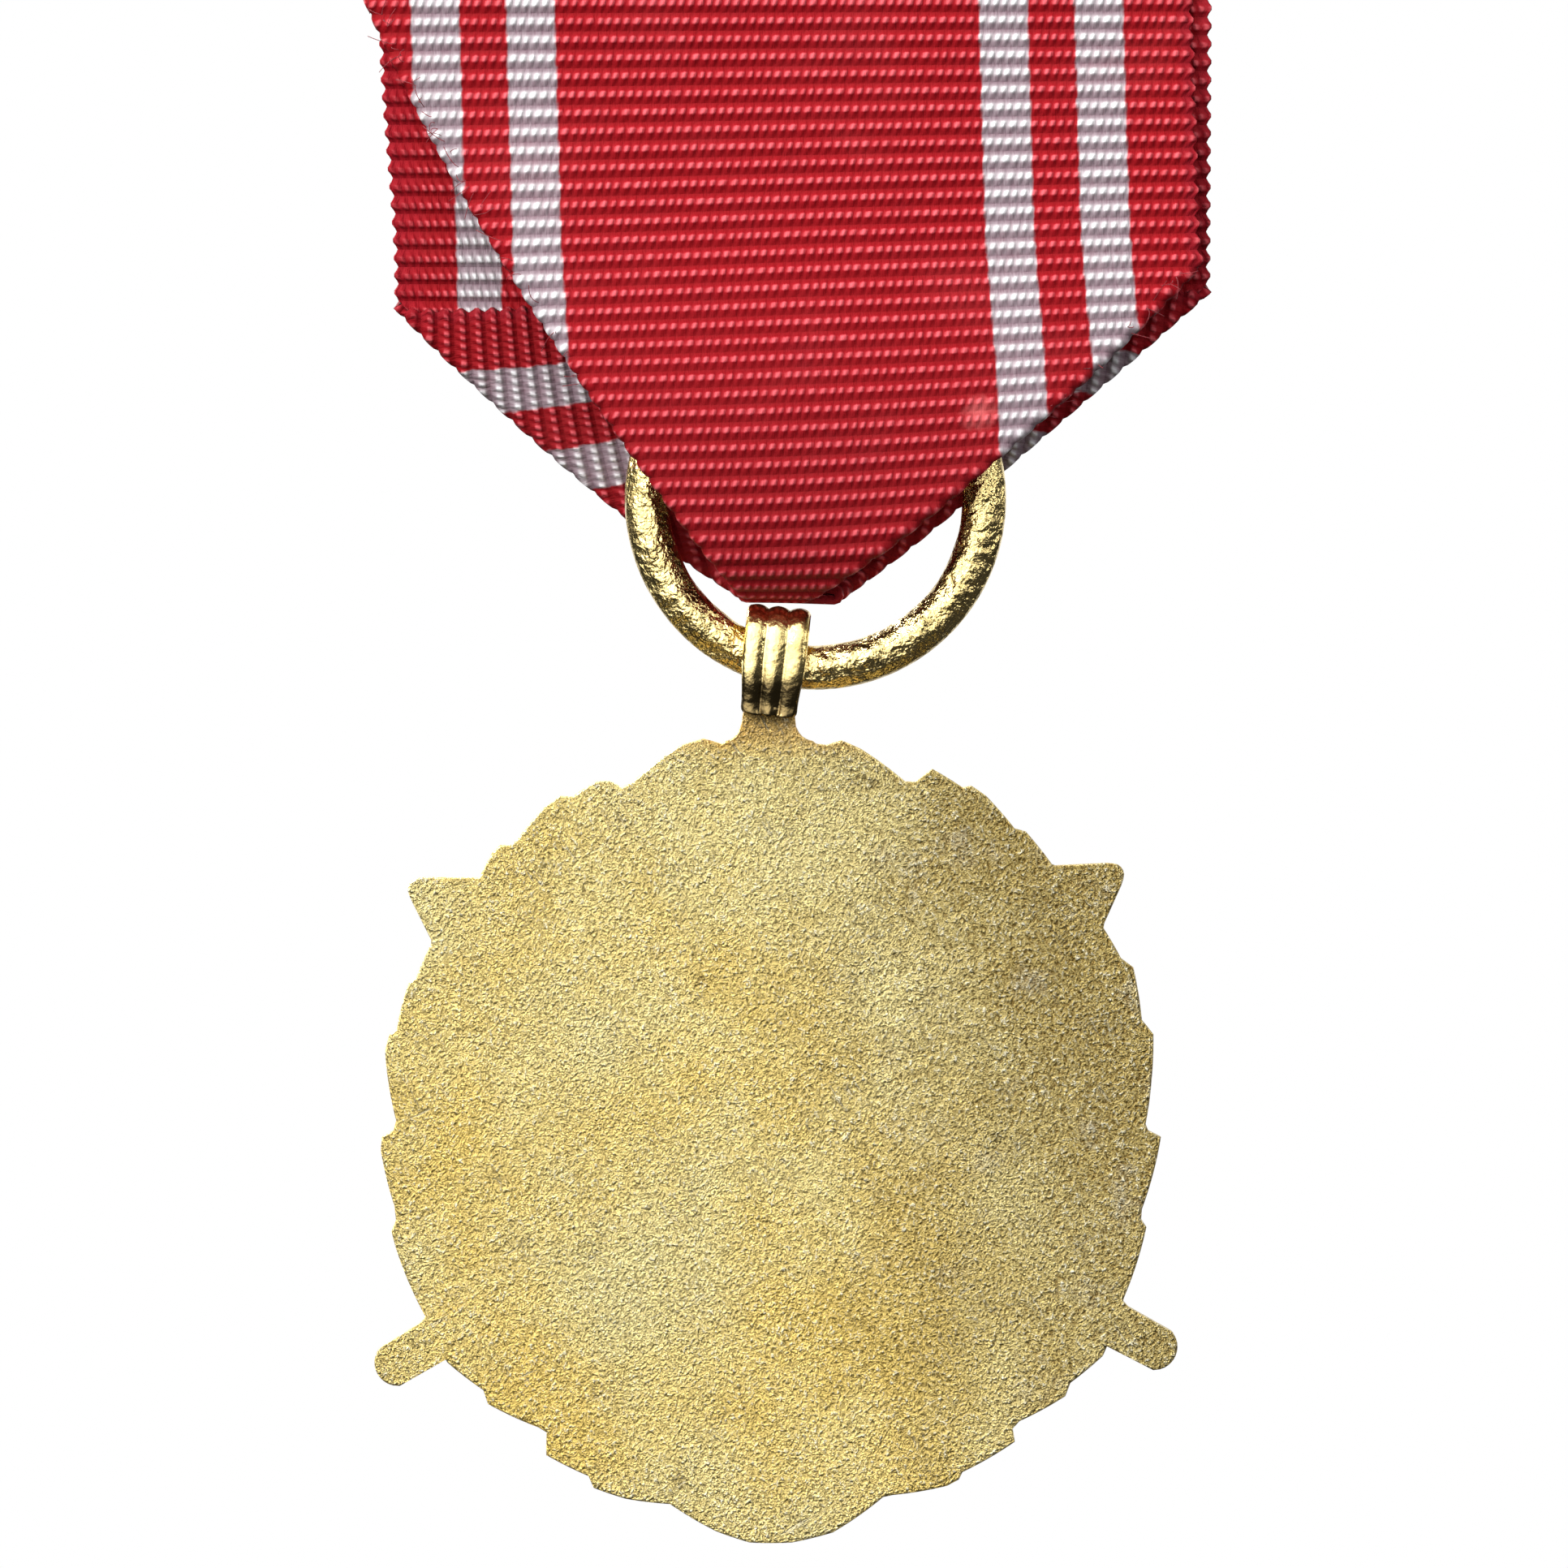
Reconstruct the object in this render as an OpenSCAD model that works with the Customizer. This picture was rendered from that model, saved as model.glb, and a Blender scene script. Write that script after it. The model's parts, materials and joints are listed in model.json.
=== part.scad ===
// A hanging medal: a struck disc on a folded loop and ring, a striped ribbon with a pointed fold,
// and a brooch fitting sewn to the back of the ribbon.
// Z is up and the struck face looks towards -Y. The origin is the middle of the closed brooch pin.

/* [Medal] */
// Radius of the wreath, measured at its notches
wreath_r = 16.4; // [12:0.1:24]
// Thickness of the flat plate behind the relief
plate_t = 1.6; // [1:0.1:3]
// Height of the relief on the struck face
relief_h = 0.7; // [0.3:0.1:1.2]
// Length of a crossed sword's blade, from the crossing to its point
blade_l = 18.5; // [15:0.1:30]
// Length of a crossed sword's hilt, from the crossing to the middle of its pommel
hilt_l = 19.4; // [16:0.1:30]
// Slope of the crossed swords
sword_angle = 33.8; // [20:0.1:50]
// Width of the tab that the loop is soldered to
tab_w = 2.4; // [1.5:0.1:4]

/* [Loop and ring] */
// Width of the strip that is folded into the loop
strip_w = 2.75; // [2:0.05:5]
// Thickness of the strip
strip_t = 0.35; // [0.2:0.05:0.7]
// Play between the ring's wire and the top of the loop
loop_slack = 0.9; // [0.3:0.1:2]
// How far the strip's ends lie over the tab
lap = 0.6; // [0.4:0.1:2]
// Outside diameter of the ring
ring_d = 16.6; // [14:0.1:24]
// Thickness of the ring's wire
wire_d = 2; // [1.4:0.1:2.6]
// Where the loop sits on the ring, as an angle from the ring's lowest point
loop_at = 14.3; // [0:0.1:25]

/* [Ribbon] */
// Width of the ribbon
ribbon_w = 36; // [30:0.5:44]
// Height of the folded ribbon, from its top fold to its point
ribbon_h = 50; // [44:0.5:70]
// Thickness of one layer of ribbon
cloth_t = 0.4; // [0.25:0.05:0.6]
// Height of the pointed part of the fold
point_h = 14.1; // [11:0.1:18]
// Width of the blunt tip of the fold
tip_w = 4; // [2:0.1:7]
// How far the ring can swing forwards and backwards
ring_swing = 6; // [3:1:8]

/* [Brooch] */
// Length of the brooch plate
base_l = 30; // [26:0.5:34]
// Width of the brooch plate
base_w = 5; // [4:0.1:8]
// Thickness of the brooch plate
base_t = 0.5; // [0.3:0.1:0.8]
// Diameter of the brooch pin
needle_d = 0.8; // [0.6:0.05:1.1]
// Distance from the hinge rivet to the catch
pin_span = 21; // [17:0.5:24]
// Height of the pin line under the ribbon's top fold
pin_drop = 5; // [3.5:0.5:9]

/* [Hidden] */
$fn = 64;

gap = 0.15;            // clearance between pieces that pass each other
running = 0.06;        // radial clearance of a turning fit
gilt = "#d8b45a";
steel = "#c9c9c6";

// Brooch, outwards from the pin line, which is the line y = 0, z = 0
needle_r = needle_d / 2;
lock_ri = needle_r + gap;
lock_ro = lock_ri + 0.45;
housing_ri = lock_ro + running;
housing_ro = housing_ri + 0.45;
slot_w = needle_d + 2 * gap;
base_y = -housing_ro + 0.15;          // outer face of the brooch plate
cloth_back = base_y - base_t;         // back face of the ribbon
hinge_x = -pin_span / 2;
catch_x = pin_span / 2;
catch_l = 3;
rivet_r = 0.4;
eye_r = 1.15;
eye_t = needle_d + 0.3;
ear_t = 0.4;
ear_gap = eye_t + 2 * running;

// Ribbon, ring and medal, downwards from the ribbon's top fold
top_z = pin_drop;
tip_z = top_z - ribbon_h;
tip_x = 0.6;
wire_r = wire_d / 2;
ring_r = ring_d / 2 - wire_r;         // radius of the wire's centre line
loop_top = wire_r + loop_slack + strip_t;
tip_gap = 0.23;                       // room between the ribbon's tip and the loop
axis_z = tip_z - tip_gap - loop_top;  // the wire's centre where the loop hangs on it
ring_x = -0.88;
ring_z = axis_z + ring_r * cos(loop_at);
axis_x = ring_x + ring_r * sin(loop_at);
swing_z = ring_z + ring_r;            // the ring swings about the top of its wire
flare_z = ring_z - 2.4;               // the wire has left the ribbon by this height
inner_top = wire_r + gap;             // half the room between the leaves at the swing line
inner_low = inner_top + (swing_z - flare_z) * tan(ring_swing);
leaf_t = 2 * cloth_t;                 // a leaf and its tucked corner
ring_y = cloth_back - 0.25 - leaf_t - inner_top;
shoulder_z = tip_z + point_h;
flap_z = max(shoulder_z, swing_z) + 1;
join_z = -base_w / 2 - 1.5;           // the two leaves come together here, under the brooch plate

// The loop and the medal below it
loop_lean = 6;
loop_ri = wire_r + 0.25;              // inside radius of the loop's rounded top
loop_ro = loop_ri + strip_t;
tab_t = 2 * loop_ri - 0.3;
tab_top = wire_r + 0.8;               // the tab starts this far below the wire's centre
leg_l = tab_top + lap;
neck = 1.4;                           // bare tab between the loop and the wreath
medal_x = axis_x + 0.14;
tab_x = medal_x + 0.1;
medal_z = axis_z - leg_l - neck - wreath_r - 0.6;
plate_front = ring_y - plate_t / 2;

// One shape drawn in the X-Z plane, given thickness from y0 towards +Y
module upright(y0, t) {
  translate([0, y0 + t, 0]) rotate([90, 0, 0]) linear_extrude(t) children();
}

// One shape drawn in the Y-Z plane, centred on x = 0
module across(w) {
  rotate([90, 0, 90]) translate([0, 0, -w / 2]) linear_extrude(w) children();
}

// Leaf tips on one side of the wreath: [angle from the horizontal, peak above wreath_r, tip radius]
leaf_tips = [[-90, 1.05, 6], [-64, 0.4, 3.5], [-54, 0.3, 3], [-42, 0.4, 3], [-17, 0.4, 2.5], [-2, 0.6, 3],
             [15, 0.85, 3.2], [26, 1.1, 3], [48, 1.1, 2.6], [58, 1.4, 2.8], [66, 1.3, 2.2], [80, 1.5, 4.5]];

module wreath_outline() {
  circle(wreath_r);
  for (side = [0, 1], tip = leaf_tips)
    mirror([side, 0])
      rotate(tip[0]) translate([wreath_r + tip[1] - tip[2], 0]) circle(tip[2]);
}

// One sword along +X, with its broad point ahead and its pommel behind
module sword_outline() {
  pommel_r = 0.95;
  polygon([[-hilt_l, -0.6], [-hilt_l, 0.6], [-wreath_r, 1], [-wreath_r, 1.9], [blade_l - 2.3, 1.9], [blade_l, 0.2],
           [blade_l, -0.2], [blade_l - 2.3, -1.9], [-wreath_r, -1.9], [-wreath_r, -1]]);
  translate([-hilt_l, 0]) circle(pommel_r);
}

module both_swords() {
  crossing = 1.4;
  for (side = [0, 1])
    translate([0, crossing]) mirror([side, 0]) rotate(sword_angle) children();
}

module medal_disc() {
  rim_w = 4.2;
  color(gilt) {
    translate([medal_x, 0, medal_z]) {
      upright(plate_front, plate_t) {
        wreath_outline();
        both_swords() sword_outline();
      }
      upright(plate_front - relief_h, relief_h + 0.1) {
        difference() {
          circle(wreath_r - 0.3);
          circle(wreath_r - rim_w);
        }
        both_swords() square([2 * blade_l - 5, 1.4], center = true);
        circle(6.4);
      }
    }
    tab();
  }
}

// The tab runs up between the legs of the loop
module tab() {
  bottom = axis_z - leg_l - neck - 1;
  upright(ring_y - tab_t / 2, tab_t)
    translate([tab_x - tab_w / 2, bottom]) square([tab_w, axis_z - tab_top - bottom]);
}

module bail() {
  top_centre = loop_top - loop_ro;
  leg_ro = tab_t / 2 + strip_t;
  color(gilt)
    translate([axis_x, ring_y, axis_z]) rotate([0, -loop_lean, 0]) across(strip_w)
      difference() {
        union() {
          translate([0, top_centre]) circle(loop_ro);
          translate([-loop_ro, -tab_top]) square([2 * loop_ro, tab_top + top_centre]);
          translate([-leg_ro, -leg_l]) square([2 * leg_ro, leg_l]);
        }
        translate([0, top_centre]) circle(loop_ri);
        translate([-loop_ri, 0.1 - tab_top]) square([2 * loop_ri, tab_top - 0.1 + top_centre]);
        translate([-tab_t / 2, -leg_l - 1]) square([tab_t, leg_l + 1]);
      }
}

module ring() {
  color(gilt)
    translate([ring_x, ring_y, ring_z]) rotate([90, 0, 0])
      rotate_extrude() translate([ring_r, 0]) circle(wire_r);
}

// Front leaf of the ribbon
module front_outline() {
  half = ribbon_w / 2;
  polygon([[-half, top_z], [-half, shoulder_z], [tip_x - tip_w / 2, tip_z], [tip_x + tip_w / 2, tip_z],
           [half, shoulder_z], [half, top_z]]);
}

// Back leaf, whose +X side is turned under along a long slant
module back_outline() {
  half = ribbon_w / 2;
  polygon([[-half, top_z], [1 - half, shoulder_z - 0.5], [tip_x - tip_w / 2, tip_z], [tip_x + tip_w / 2, tip_z],
           [0.32 * half, tip_z + 4.4], [0.55 * half, tip_z + 10.8], [half - 1.1, tip_z + 22],
           [half + 1.2, tip_z + 29], [half, top_z]]);
}

// The ribbon is one length of cloth: two leaves, the fold at their top and the corners tucked between them
module ribbon() {
  color("#b0303a") {
    leaf(-1, cloth_back - 2 * cloth_t) front_outline();
    leaf(1, cloth_back - cloth_t) back_outline();
    top_fold();
    tucked_corners();
  }
}

// A leaf on one side of the ring, from its tip to join_z, where its inner face is at y = joined
module leaf(out, joined) {
  flap_in = ring_y + out * inner_top;
  flare_in = ring_y + out * inner_low;
  tip_in = ring_y + out * 0.3;
  intersection() {
    upright(ring_y - 10, 20) children();
    across(2 * ribbon_w) {
      polygon([[flap_in, flap_z], [flap_in + out * cloth_t, flap_z], [joined + out * cloth_t, join_z],
               [joined, join_z]]);
      polygon([[flap_in, flap_z], [flap_in, swing_z], [flare_in, flare_z], [tip_in, tip_z],
               [tip_in + out * leaf_t, tip_z + 0.3], [flare_in + out * leaf_t, flare_z],
               [flap_in + out * leaf_t, swing_z], [flap_in + out * leaf_t, flap_z - 0.8],
               [flap_in + out * cloth_t, flap_z]]);
    }
  }
}

// Three layers lie together behind the brooch plate, where the ribbon's ends overlap
module top_fold() {
  translate([-ribbon_w / 2, cloth_back - 3 * cloth_t, join_z])
    cube([ribbon_w, 3 * cloth_t, top_z - join_z]);
}

// The tucked corners fill the ring's opening and carry its wire
module tucked_corners() {
  bridge_top = inner_top + cloth_t;
  bridge_low = inner_low + cloth_t;
  intersection() {
    upright(ring_y - 10, 20) intersection() {
      front_outline();
      back_outline();
      translate([ring_x, ring_z]) circle(ring_r - wire_r - 2 * gap);
    }
    across(2 * ribbon_w)
      polygon([[ring_y - bridge_low, flare_z], [ring_y - bridge_top, swing_z], [ring_y + bridge_top, swing_z],
               [ring_y + bridge_low, flare_z], [ring_y + 0.6, tip_z], [ring_y - 0.6, tip_z]]);
  }
}

module ribbon_seam() {
  stitch_l = 1.6;
  pitch = 2.5;
  count = floor((ribbon_w - 3) / pitch);
  color("#8c2a33")
    for (i = [0:count - 1], face = [0, 1])
      translate([(i - (count - 1) / 2) * pitch - stitch_l / 2, 0, join_z + 0.9])
        translate([0, face == 0 ? cloth_back : cloth_back - 3 * cloth_t - 0.15, -0.15])
          cube([stitch_l, 0.15, 0.3]);
}

stitch_x = base_l / 2 - 1.6;
stitch_z = base_w / 2 - 1.3;

module brooch_plate() {
  color(steel)
    difference() {
      upright(cloth_back, base_t) {
        square([base_l - base_w, base_w], center = true);
        for (s = [-1, 1]) translate([s * (base_l - base_w) / 2, 0]) circle(base_w / 2);
      }
      for (end = [-1, 1], side = [-1, 1])
        translate([end * stitch_x, 0, side * stitch_z]) rotate([90, 0, 0]) cylinder(r = 0.45, h = 20, center = true);
    }
}

// Each stitch comes up through a hole and goes over the plate's long edge
module plate_stitches() {
  thread = 0.3;
  color("#8c2a33")
    for (end = [-1, 1], side = [-1, 1])
      translate([end * stitch_x, cloth_back, 0]) mirror([0, 0, (1 - side) / 2]) across(thread) {
        translate([0, stitch_z - thread / 2]) square([base_t + thread, thread]);
        translate([base_t, stitch_z]) square([thread, base_w / 2 + 0.1 + thread - stitch_z]);
        translate([0, base_w / 2 + 0.1]) square([base_t + thread, thread]);
      }
}

module pin_joint() {
  outer = eye_r + 0.25;
  color(steel)
    difference() {
      for (s = [-1, 1])
        translate([0, 0, s * (ear_gap + ear_t) / 2 - ear_t / 2]) linear_extrude(ear_t) {
          translate([hinge_x, 0]) circle(outer - 0.1);
          translate([hinge_x - outer, base_y]) square([2 * outer, -base_y]);
        }
      translate([hinge_x, 0, -5]) cylinder(r = rivet_r, h = 10);
    }
}

module joint_rivet() {
  body = ear_gap + 2 * ear_t;
  color(steel)
    translate([hinge_x, 0, -body / 2]) {
      cylinder(r = rivet_r, h = body);
      for (z = [-0.25, body]) translate([0, 0, z]) cylinder(r = rivet_r + 0.25, h = 0.25);
    }
}

// The pin narrows away from its eye, runs straight, and tapers from just before the catch
module pin_needle() {
  neck_end = hinge_x + 1.7;
  taper_start = catch_x - catch_l / 2 - 0.3;
  tip_end = catch_x + catch_l / 2 - 0.2;
  color(steel)
    difference() {
      union() {
        translate([hinge_x, 0, -eye_t / 2]) cylinder(r = eye_r, h = eye_t);
        along_pin(hinge_x) cylinder(r1 = eye_t / 2, r2 = needle_r, h = neck_end - hinge_x);
        along_pin(neck_end) cylinder(r = needle_r, h = taper_start - neck_end);
        along_pin(taper_start) cylinder(r1 = needle_r, r2 = 0.08, h = tip_end - taper_start);
      }
      translate([hinge_x, 0, -5]) cylinder(r = rivet_r + running, h = 10);
    }
}

// Turns what is drawn along Z to run along the pin line from x = from
module along_pin(from) {
  translate([from, 0, 0]) rotate([0, 90, 0]) children();
}

// A slot that opens towards +Y, through which the pin leaves the catch
module pin_slot(w) {
  translate([catch_x - catch_l, 0, -w / 2]) cube([2 * catch_l, 5, w]);
}

lever_w = 0.9;
lever_at = 38;         // where the lever stands at rest, from the slot
lock_turn = 72;        // how far the lock turns

module catch_housing() {
  color(steel)
    difference() {
      union() {
        along_pin(catch_x - catch_l / 2) cylinder(r = housing_ro, h = catch_l);
        translate([catch_x - catch_l / 2, base_y, -0.9]) cube([catch_l, 1, 1.8]);
      }
      along_pin(catch_x - catch_l) cylinder(r = housing_ri, h = 2 * catch_l);
      translate([0, base_y - 5, 0]) cube([100, 10, 10], center = true);
      pin_slot(slot_w + 0.3);
      lever_window();
    }
}

// The window that the lock's lever travels in
module lever_window() {
  w = lever_w + 0.3;
  translate([catch_x - w / 2, 0, 0]) across_wedge(w, 0, lever_at + lock_turn + 20);
}

// A wedge about the X axis from angle a to angle b, counted from +Y towards +Z
module across_wedge(w, a, b) {
  far = 6;
  middle = (a + b) / 2;
  rotate([90, 0, 90]) linear_extrude(w)
    polygon([[0, 0], [far * cos(a), far * sin(a)], [far * cos(middle) * 1.5, far * sin(middle) * 1.5],
             [far * cos(b), far * sin(b)]]);
}

module catch_lock() {
  color(steel) {
    difference() {
      along_pin(catch_x - catch_l / 2 + 0.2) cylinder(r = lock_ro, h = catch_l - 0.4);
      along_pin(catch_x - catch_l) cylinder(r = lock_ri, h = 2 * catch_l);
      pin_slot(slot_w);
    }
    translate([catch_x, 0, 0]) rotate([lever_at, 0, 0])
      translate([-lever_w / 2, lock_ri + 0.15, -0.3]) cube([lever_w, housing_ro - lock_ri + 0.9, 0.6]);
  }
}

medal_disc();
bail();
ring();
ribbon();
ribbon_seam();
brooch_plate();
plate_stitches();
pin_joint();
joint_rivet();
pin_needle();
catch_housing();
catch_lock();
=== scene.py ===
"""A gilt medal on a folded ribbon with a brooch pin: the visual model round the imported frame.

Shapes are worked out in millimetres and stored in metres. X runs along the brooch pin, Z up the ribbon,
and Y out of the medal's plain back.
"""
import json
import logging
import math
from dataclasses import dataclass
from enum import Enum

import bmesh
import bpy
import numpy as np
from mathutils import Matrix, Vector


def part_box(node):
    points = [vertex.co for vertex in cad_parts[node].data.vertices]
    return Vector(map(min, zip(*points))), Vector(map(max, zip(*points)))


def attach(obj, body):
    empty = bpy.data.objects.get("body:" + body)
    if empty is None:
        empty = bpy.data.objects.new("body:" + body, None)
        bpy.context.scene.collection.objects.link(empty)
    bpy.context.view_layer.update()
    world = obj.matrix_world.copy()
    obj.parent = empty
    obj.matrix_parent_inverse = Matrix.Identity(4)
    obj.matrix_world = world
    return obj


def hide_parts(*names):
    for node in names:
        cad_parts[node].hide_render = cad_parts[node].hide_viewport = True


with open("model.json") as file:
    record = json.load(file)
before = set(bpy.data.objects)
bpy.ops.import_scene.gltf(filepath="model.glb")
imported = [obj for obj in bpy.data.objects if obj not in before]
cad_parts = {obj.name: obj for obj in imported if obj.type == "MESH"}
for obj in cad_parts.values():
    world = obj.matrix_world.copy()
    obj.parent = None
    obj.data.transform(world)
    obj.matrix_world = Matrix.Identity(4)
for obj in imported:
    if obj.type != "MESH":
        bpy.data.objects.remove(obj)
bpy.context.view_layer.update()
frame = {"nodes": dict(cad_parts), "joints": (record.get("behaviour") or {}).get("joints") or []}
MM = 0.001
RIB = 0.777  # the ribbon's rib pitch in millimetres
TIP_RIB = 200  # the rib at the ribbon's tip, so that no place along the cloth is negative
TWO_PI = 2 * math.pi
LOG = logging.getLogger("medal")


class Finish(Enum):
    """The record's material slots."""

    GILT = "gilt"
    POLISHED = "gilt_polished"
    CLOTH = "ribbon_cloth"
    THREAD = "thread"
    NICKEL = "nickel"


# ---------------------------------------------------------------- numbers and meshes


def box_mm(node: str) -> tuple[np.ndarray, np.ndarray]:
    """A CAD node's lowest and highest corners in millimetres."""
    low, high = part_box(node)
    return np.array(low) / MM, np.array(high) / MM


def smooth(edge0: float, edge1: float, x: np.ndarray) -> np.ndarray:
    """A soft step: 0 up to edge0, 1 from edge1, and 3t^2 - 2t^3 between them."""
    t = np.clip((x - edge0) / (edge1 - edge0), 0, 1)
    return t * t * (3 - 2 * t)


def spline(points: np.ndarray, count: int) -> np.ndarray:
    """A cubic Hermite curve through points, evenly spaced along its chords.

    Args:
        points: The points to pass through, one per row.
        count: How many points to return.

    Returns:
        The curve's points, one per row, with each tangent from the two neighbours.
    """
    points = np.asarray(points, float)
    knots = lengths(points)
    slopes = np.gradient(points, knots, axis=0)
    at = np.linspace(0, knots[-1], count)
    i = np.clip(np.searchsorted(knots, at, side="right") - 1, 0, len(knots) - 2)
    step = (knots[i + 1] - knots[i])[:, None]
    t = ((at - knots[i])[:, None]) / step
    return ((2 * t**3 - 3 * t**2 + 1) * points[i] + (t**3 - 2 * t**2 + t) * step * slopes[i]
            + (3 * t**2 - 2 * t**3) * points[i + 1] + (t**3 - t**2) * step * slopes[i + 1])


def lengths(path: np.ndarray) -> np.ndarray:
    """How far along a path each of its points is."""
    return np.concatenate([[0], np.cumsum(np.linalg.norm(np.diff(path, axis=0), axis=1))])


def unit(vectors: np.ndarray) -> np.ndarray:
    """The vectors at length 1, where none is shorter than a billionth."""
    return vectors / np.maximum(np.linalg.norm(vectors, axis=-1, keepdims=True), 1e-9)


def bezier(start: tuple, control: tuple, end: tuple, count: int = 320, run_on: float = 1.6) -> np.ndarray:
    """A quadratic curve (1-t)^2 start + 2t(1-t) control + t^2 end, run on straight past t = 1 to run_on."""
    t = np.linspace(0, run_on, count)[:, None]
    inside = np.minimum(t, 1)
    start, control, end = (np.asarray(p, float) for p in (start, control, end))
    curve = (1 - inside) ** 2 * start + 2 * inside * (1 - inside) * control + inside**2 * end
    return curve + (t - inside) * 2 * (end - control)


def lumps(a: np.ndarray, b: np.ndarray, seed: int, waves: int = 7, reach: float = 1.0) -> np.ndarray:
    """Gentle unevenness about -1 to 1: a sum of sine waves in seeded directions over (a, b)."""
    rng = np.random.default_rng(seed)
    angle, phase = rng.uniform(0, TWO_PI, (2, waves))
    rate = reach * rng.uniform(0.6, 1.8, waves)
    total = sum(np.sin(rate[i] * (a * math.cos(angle[i]) + b * math.sin(angle[i])) + phase[i])
                for i in range(waves))
    return total / math.sqrt(waves)


def grid_faces(rows: int, cols: int, wrap_rows: bool = False, wrap_cols: bool = False) -> np.ndarray:
    """Quads over a grid whose points are numbered row by row."""
    i = np.arange(rows if wrap_rows else rows - 1)[:, None]
    j = np.arange(cols if wrap_cols else cols - 1)[None, :]
    down, right = (i + 1) % rows, (j + 1) % cols
    quads = [i * cols + j, i * cols + right, down * cols + right, down * cols + j]
    return np.stack(np.broadcast_arrays(*quads), -1).reshape(-1, 4)


def make_piece(name: str, points: np.ndarray, faces: list | np.ndarray,
               fix_normals: bool = True) -> bpy.types.Object:
    """A smooth-shaded mesh object at the origin.

    Args:
        name: The piece's name.
        points: Its points in millimetres.
        faces: Its faces, as lists of point numbers.
        fix_normals: Whether to turn all faces outwards.

    Returns:
        The new object.
    """
    mesh = bpy.data.meshes.new(name)
    mesh.from_pydata((points.reshape(-1, 3) * MM).tolist(), [], [list(f) for f in faces])
    mesh.polygons.foreach_set("use_smooth", np.ones(len(mesh.polygons), bool))
    made = bpy.data.objects.new(name, mesh)
    bpy.context.scene.collection.objects.link(made)
    if fix_normals:
        turn_outwards(mesh)
    mesh.update()
    return made


def turn_outwards(mesh: bpy.types.Mesh) -> None:
    """Recalculates a mesh's faces so that they point outwards."""
    work = bmesh.new()
    work.from_mesh(mesh)
    bmesh.ops.recalc_face_normals(work, faces=work.faces)
    work.to_mesh(mesh)
    work.free()


def set_number(made: bpy.types.Object, name: str, values: np.ndarray) -> None:
    """Stores one number per point as a named attribute."""
    stored = made.data.attributes.new(name, "FLOAT", "POINT")
    stored.data.foreach_set("value", values.ravel().astype(np.float32))


def slab(front: np.ndarray, back: np.ndarray, keep: np.ndarray) -> tuple[np.ndarray, list, np.ndarray]:
    """A closed shell between two grids of points.

    Args:
        front: One face's points, rows x cols x 3.
        back: The other face's points, in the same order.
        keep: Which cells of the grid are there, (rows - 1) x (cols - 1).

    Returns:
        The points, the faces, and the grid number of each point.
    """
    rows, cols = front.shape[:2]
    n = rows * cols
    cell = grid_faces(rows, cols)[keep.ravel()]
    padded = np.pad(keep, 1)
    number = np.arange(n).reshape(rows, cols)
    walls = []
    for edge, a, b in ((padded[1:, 1:-1] != padded[:-1, 1:-1], number[:, :-1], number[:, 1:]),
                       (padded[1:-1, 1:] != padded[1:-1, :-1], number[:-1, :], number[1:, :])):
        a, b = a[edge], b[edge]
        walls.append(np.stack([a, b, b + n, a + n], -1))
    faces = np.concatenate([cell, cell[:, ::-1] + n, *walls])
    used, renumbered = np.unique(faces, return_inverse=True)
    points = np.concatenate([front.reshape(-1, 3), back.reshape(-1, 3)])[used]
    return points, renumbered.reshape(faces.shape).tolist(), used % n


def tube(path: np.ndarray, radius: np.ndarray | float, sides: int = 12, closed: bool = False,
         up: tuple = (0, 1, 0), twist: float = 0.0, lobes: float = 0.0) -> tuple[np.ndarray, list]:
    """A round bar along a path, closed at its ends.

    Point = path + r (cos a * side + sin a * up'), with r = radius (1 + lobes cos 2(a - twist * length)).

    Args:
        path: The centre line, one point per row.
        radius: The radius, one for all or one for each path point.
        sides: Points round the bar.
        closed: Whether the path is a closed loop.
        up: A direction that is nowhere along the path.
        twist: How fast the two lobes turn, in radians per millimetre.
        lobes: How deep the lobes are, as a part of the radius.

    Returns:
        The points and faces.
    """
    path = np.asarray(path, float)
    ahead = np.roll(path, -1, 0) - np.roll(path, 1, 0) if closed else np.gradient(path, axis=0)
    ahead = unit(ahead)
    side = unit(np.cross(np.broadcast_to(np.asarray(up, float), ahead.shape), ahead))
    over = np.cross(ahead, side)
    along = lengths(path)
    a = np.linspace(0, TWO_PI, sides, endpoint=False)
    r = np.broadcast_to(np.asarray(radius, float), (len(path),))[:, None]
    r = r * (1 + lobes * np.cos(2 * (a[None, :] - twist * along[:, None])))
    points = path[:, None] + r[..., None] * (np.cos(a)[None, :, None] * side[:, None]
                                              + np.sin(a)[None, :, None] * over[:, None])
    faces = grid_faces(len(path), sides, wrap_rows=closed, wrap_cols=True).tolist()
    if not closed:
        last = (len(path) - 1) * sides
        faces += [list(range(sides)), list(range(last, last + sides))]
    return points.reshape(-1, 3), faces


def joined(parts: list[tuple[np.ndarray, list]]) -> tuple[np.ndarray, list]:
    """Several shells as one list of points and one of faces."""
    points, faces, start = [], [], 0
    for p, f in parts:
        points.append(p)
        faces += [[k + start for k in face] for face in f]
        start += len(p)
    return np.concatenate(points), faces


def dress_piece(made: bpy.types.Object, material: bpy.types.Material, body: str,
                nodes: tuple = ()) -> None:
    """Gives a piece its material, puts it on its body, and hides the CAD nodes it stands for."""
    made.data.materials.append(material)
    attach(made, body)
    if nodes:
        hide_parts(*nodes)
    LOG.info("%s: %d faces on %s", made.name, len(made.data.polygons), body)


# ---------------------------------------------------------------- shader maths


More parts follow.
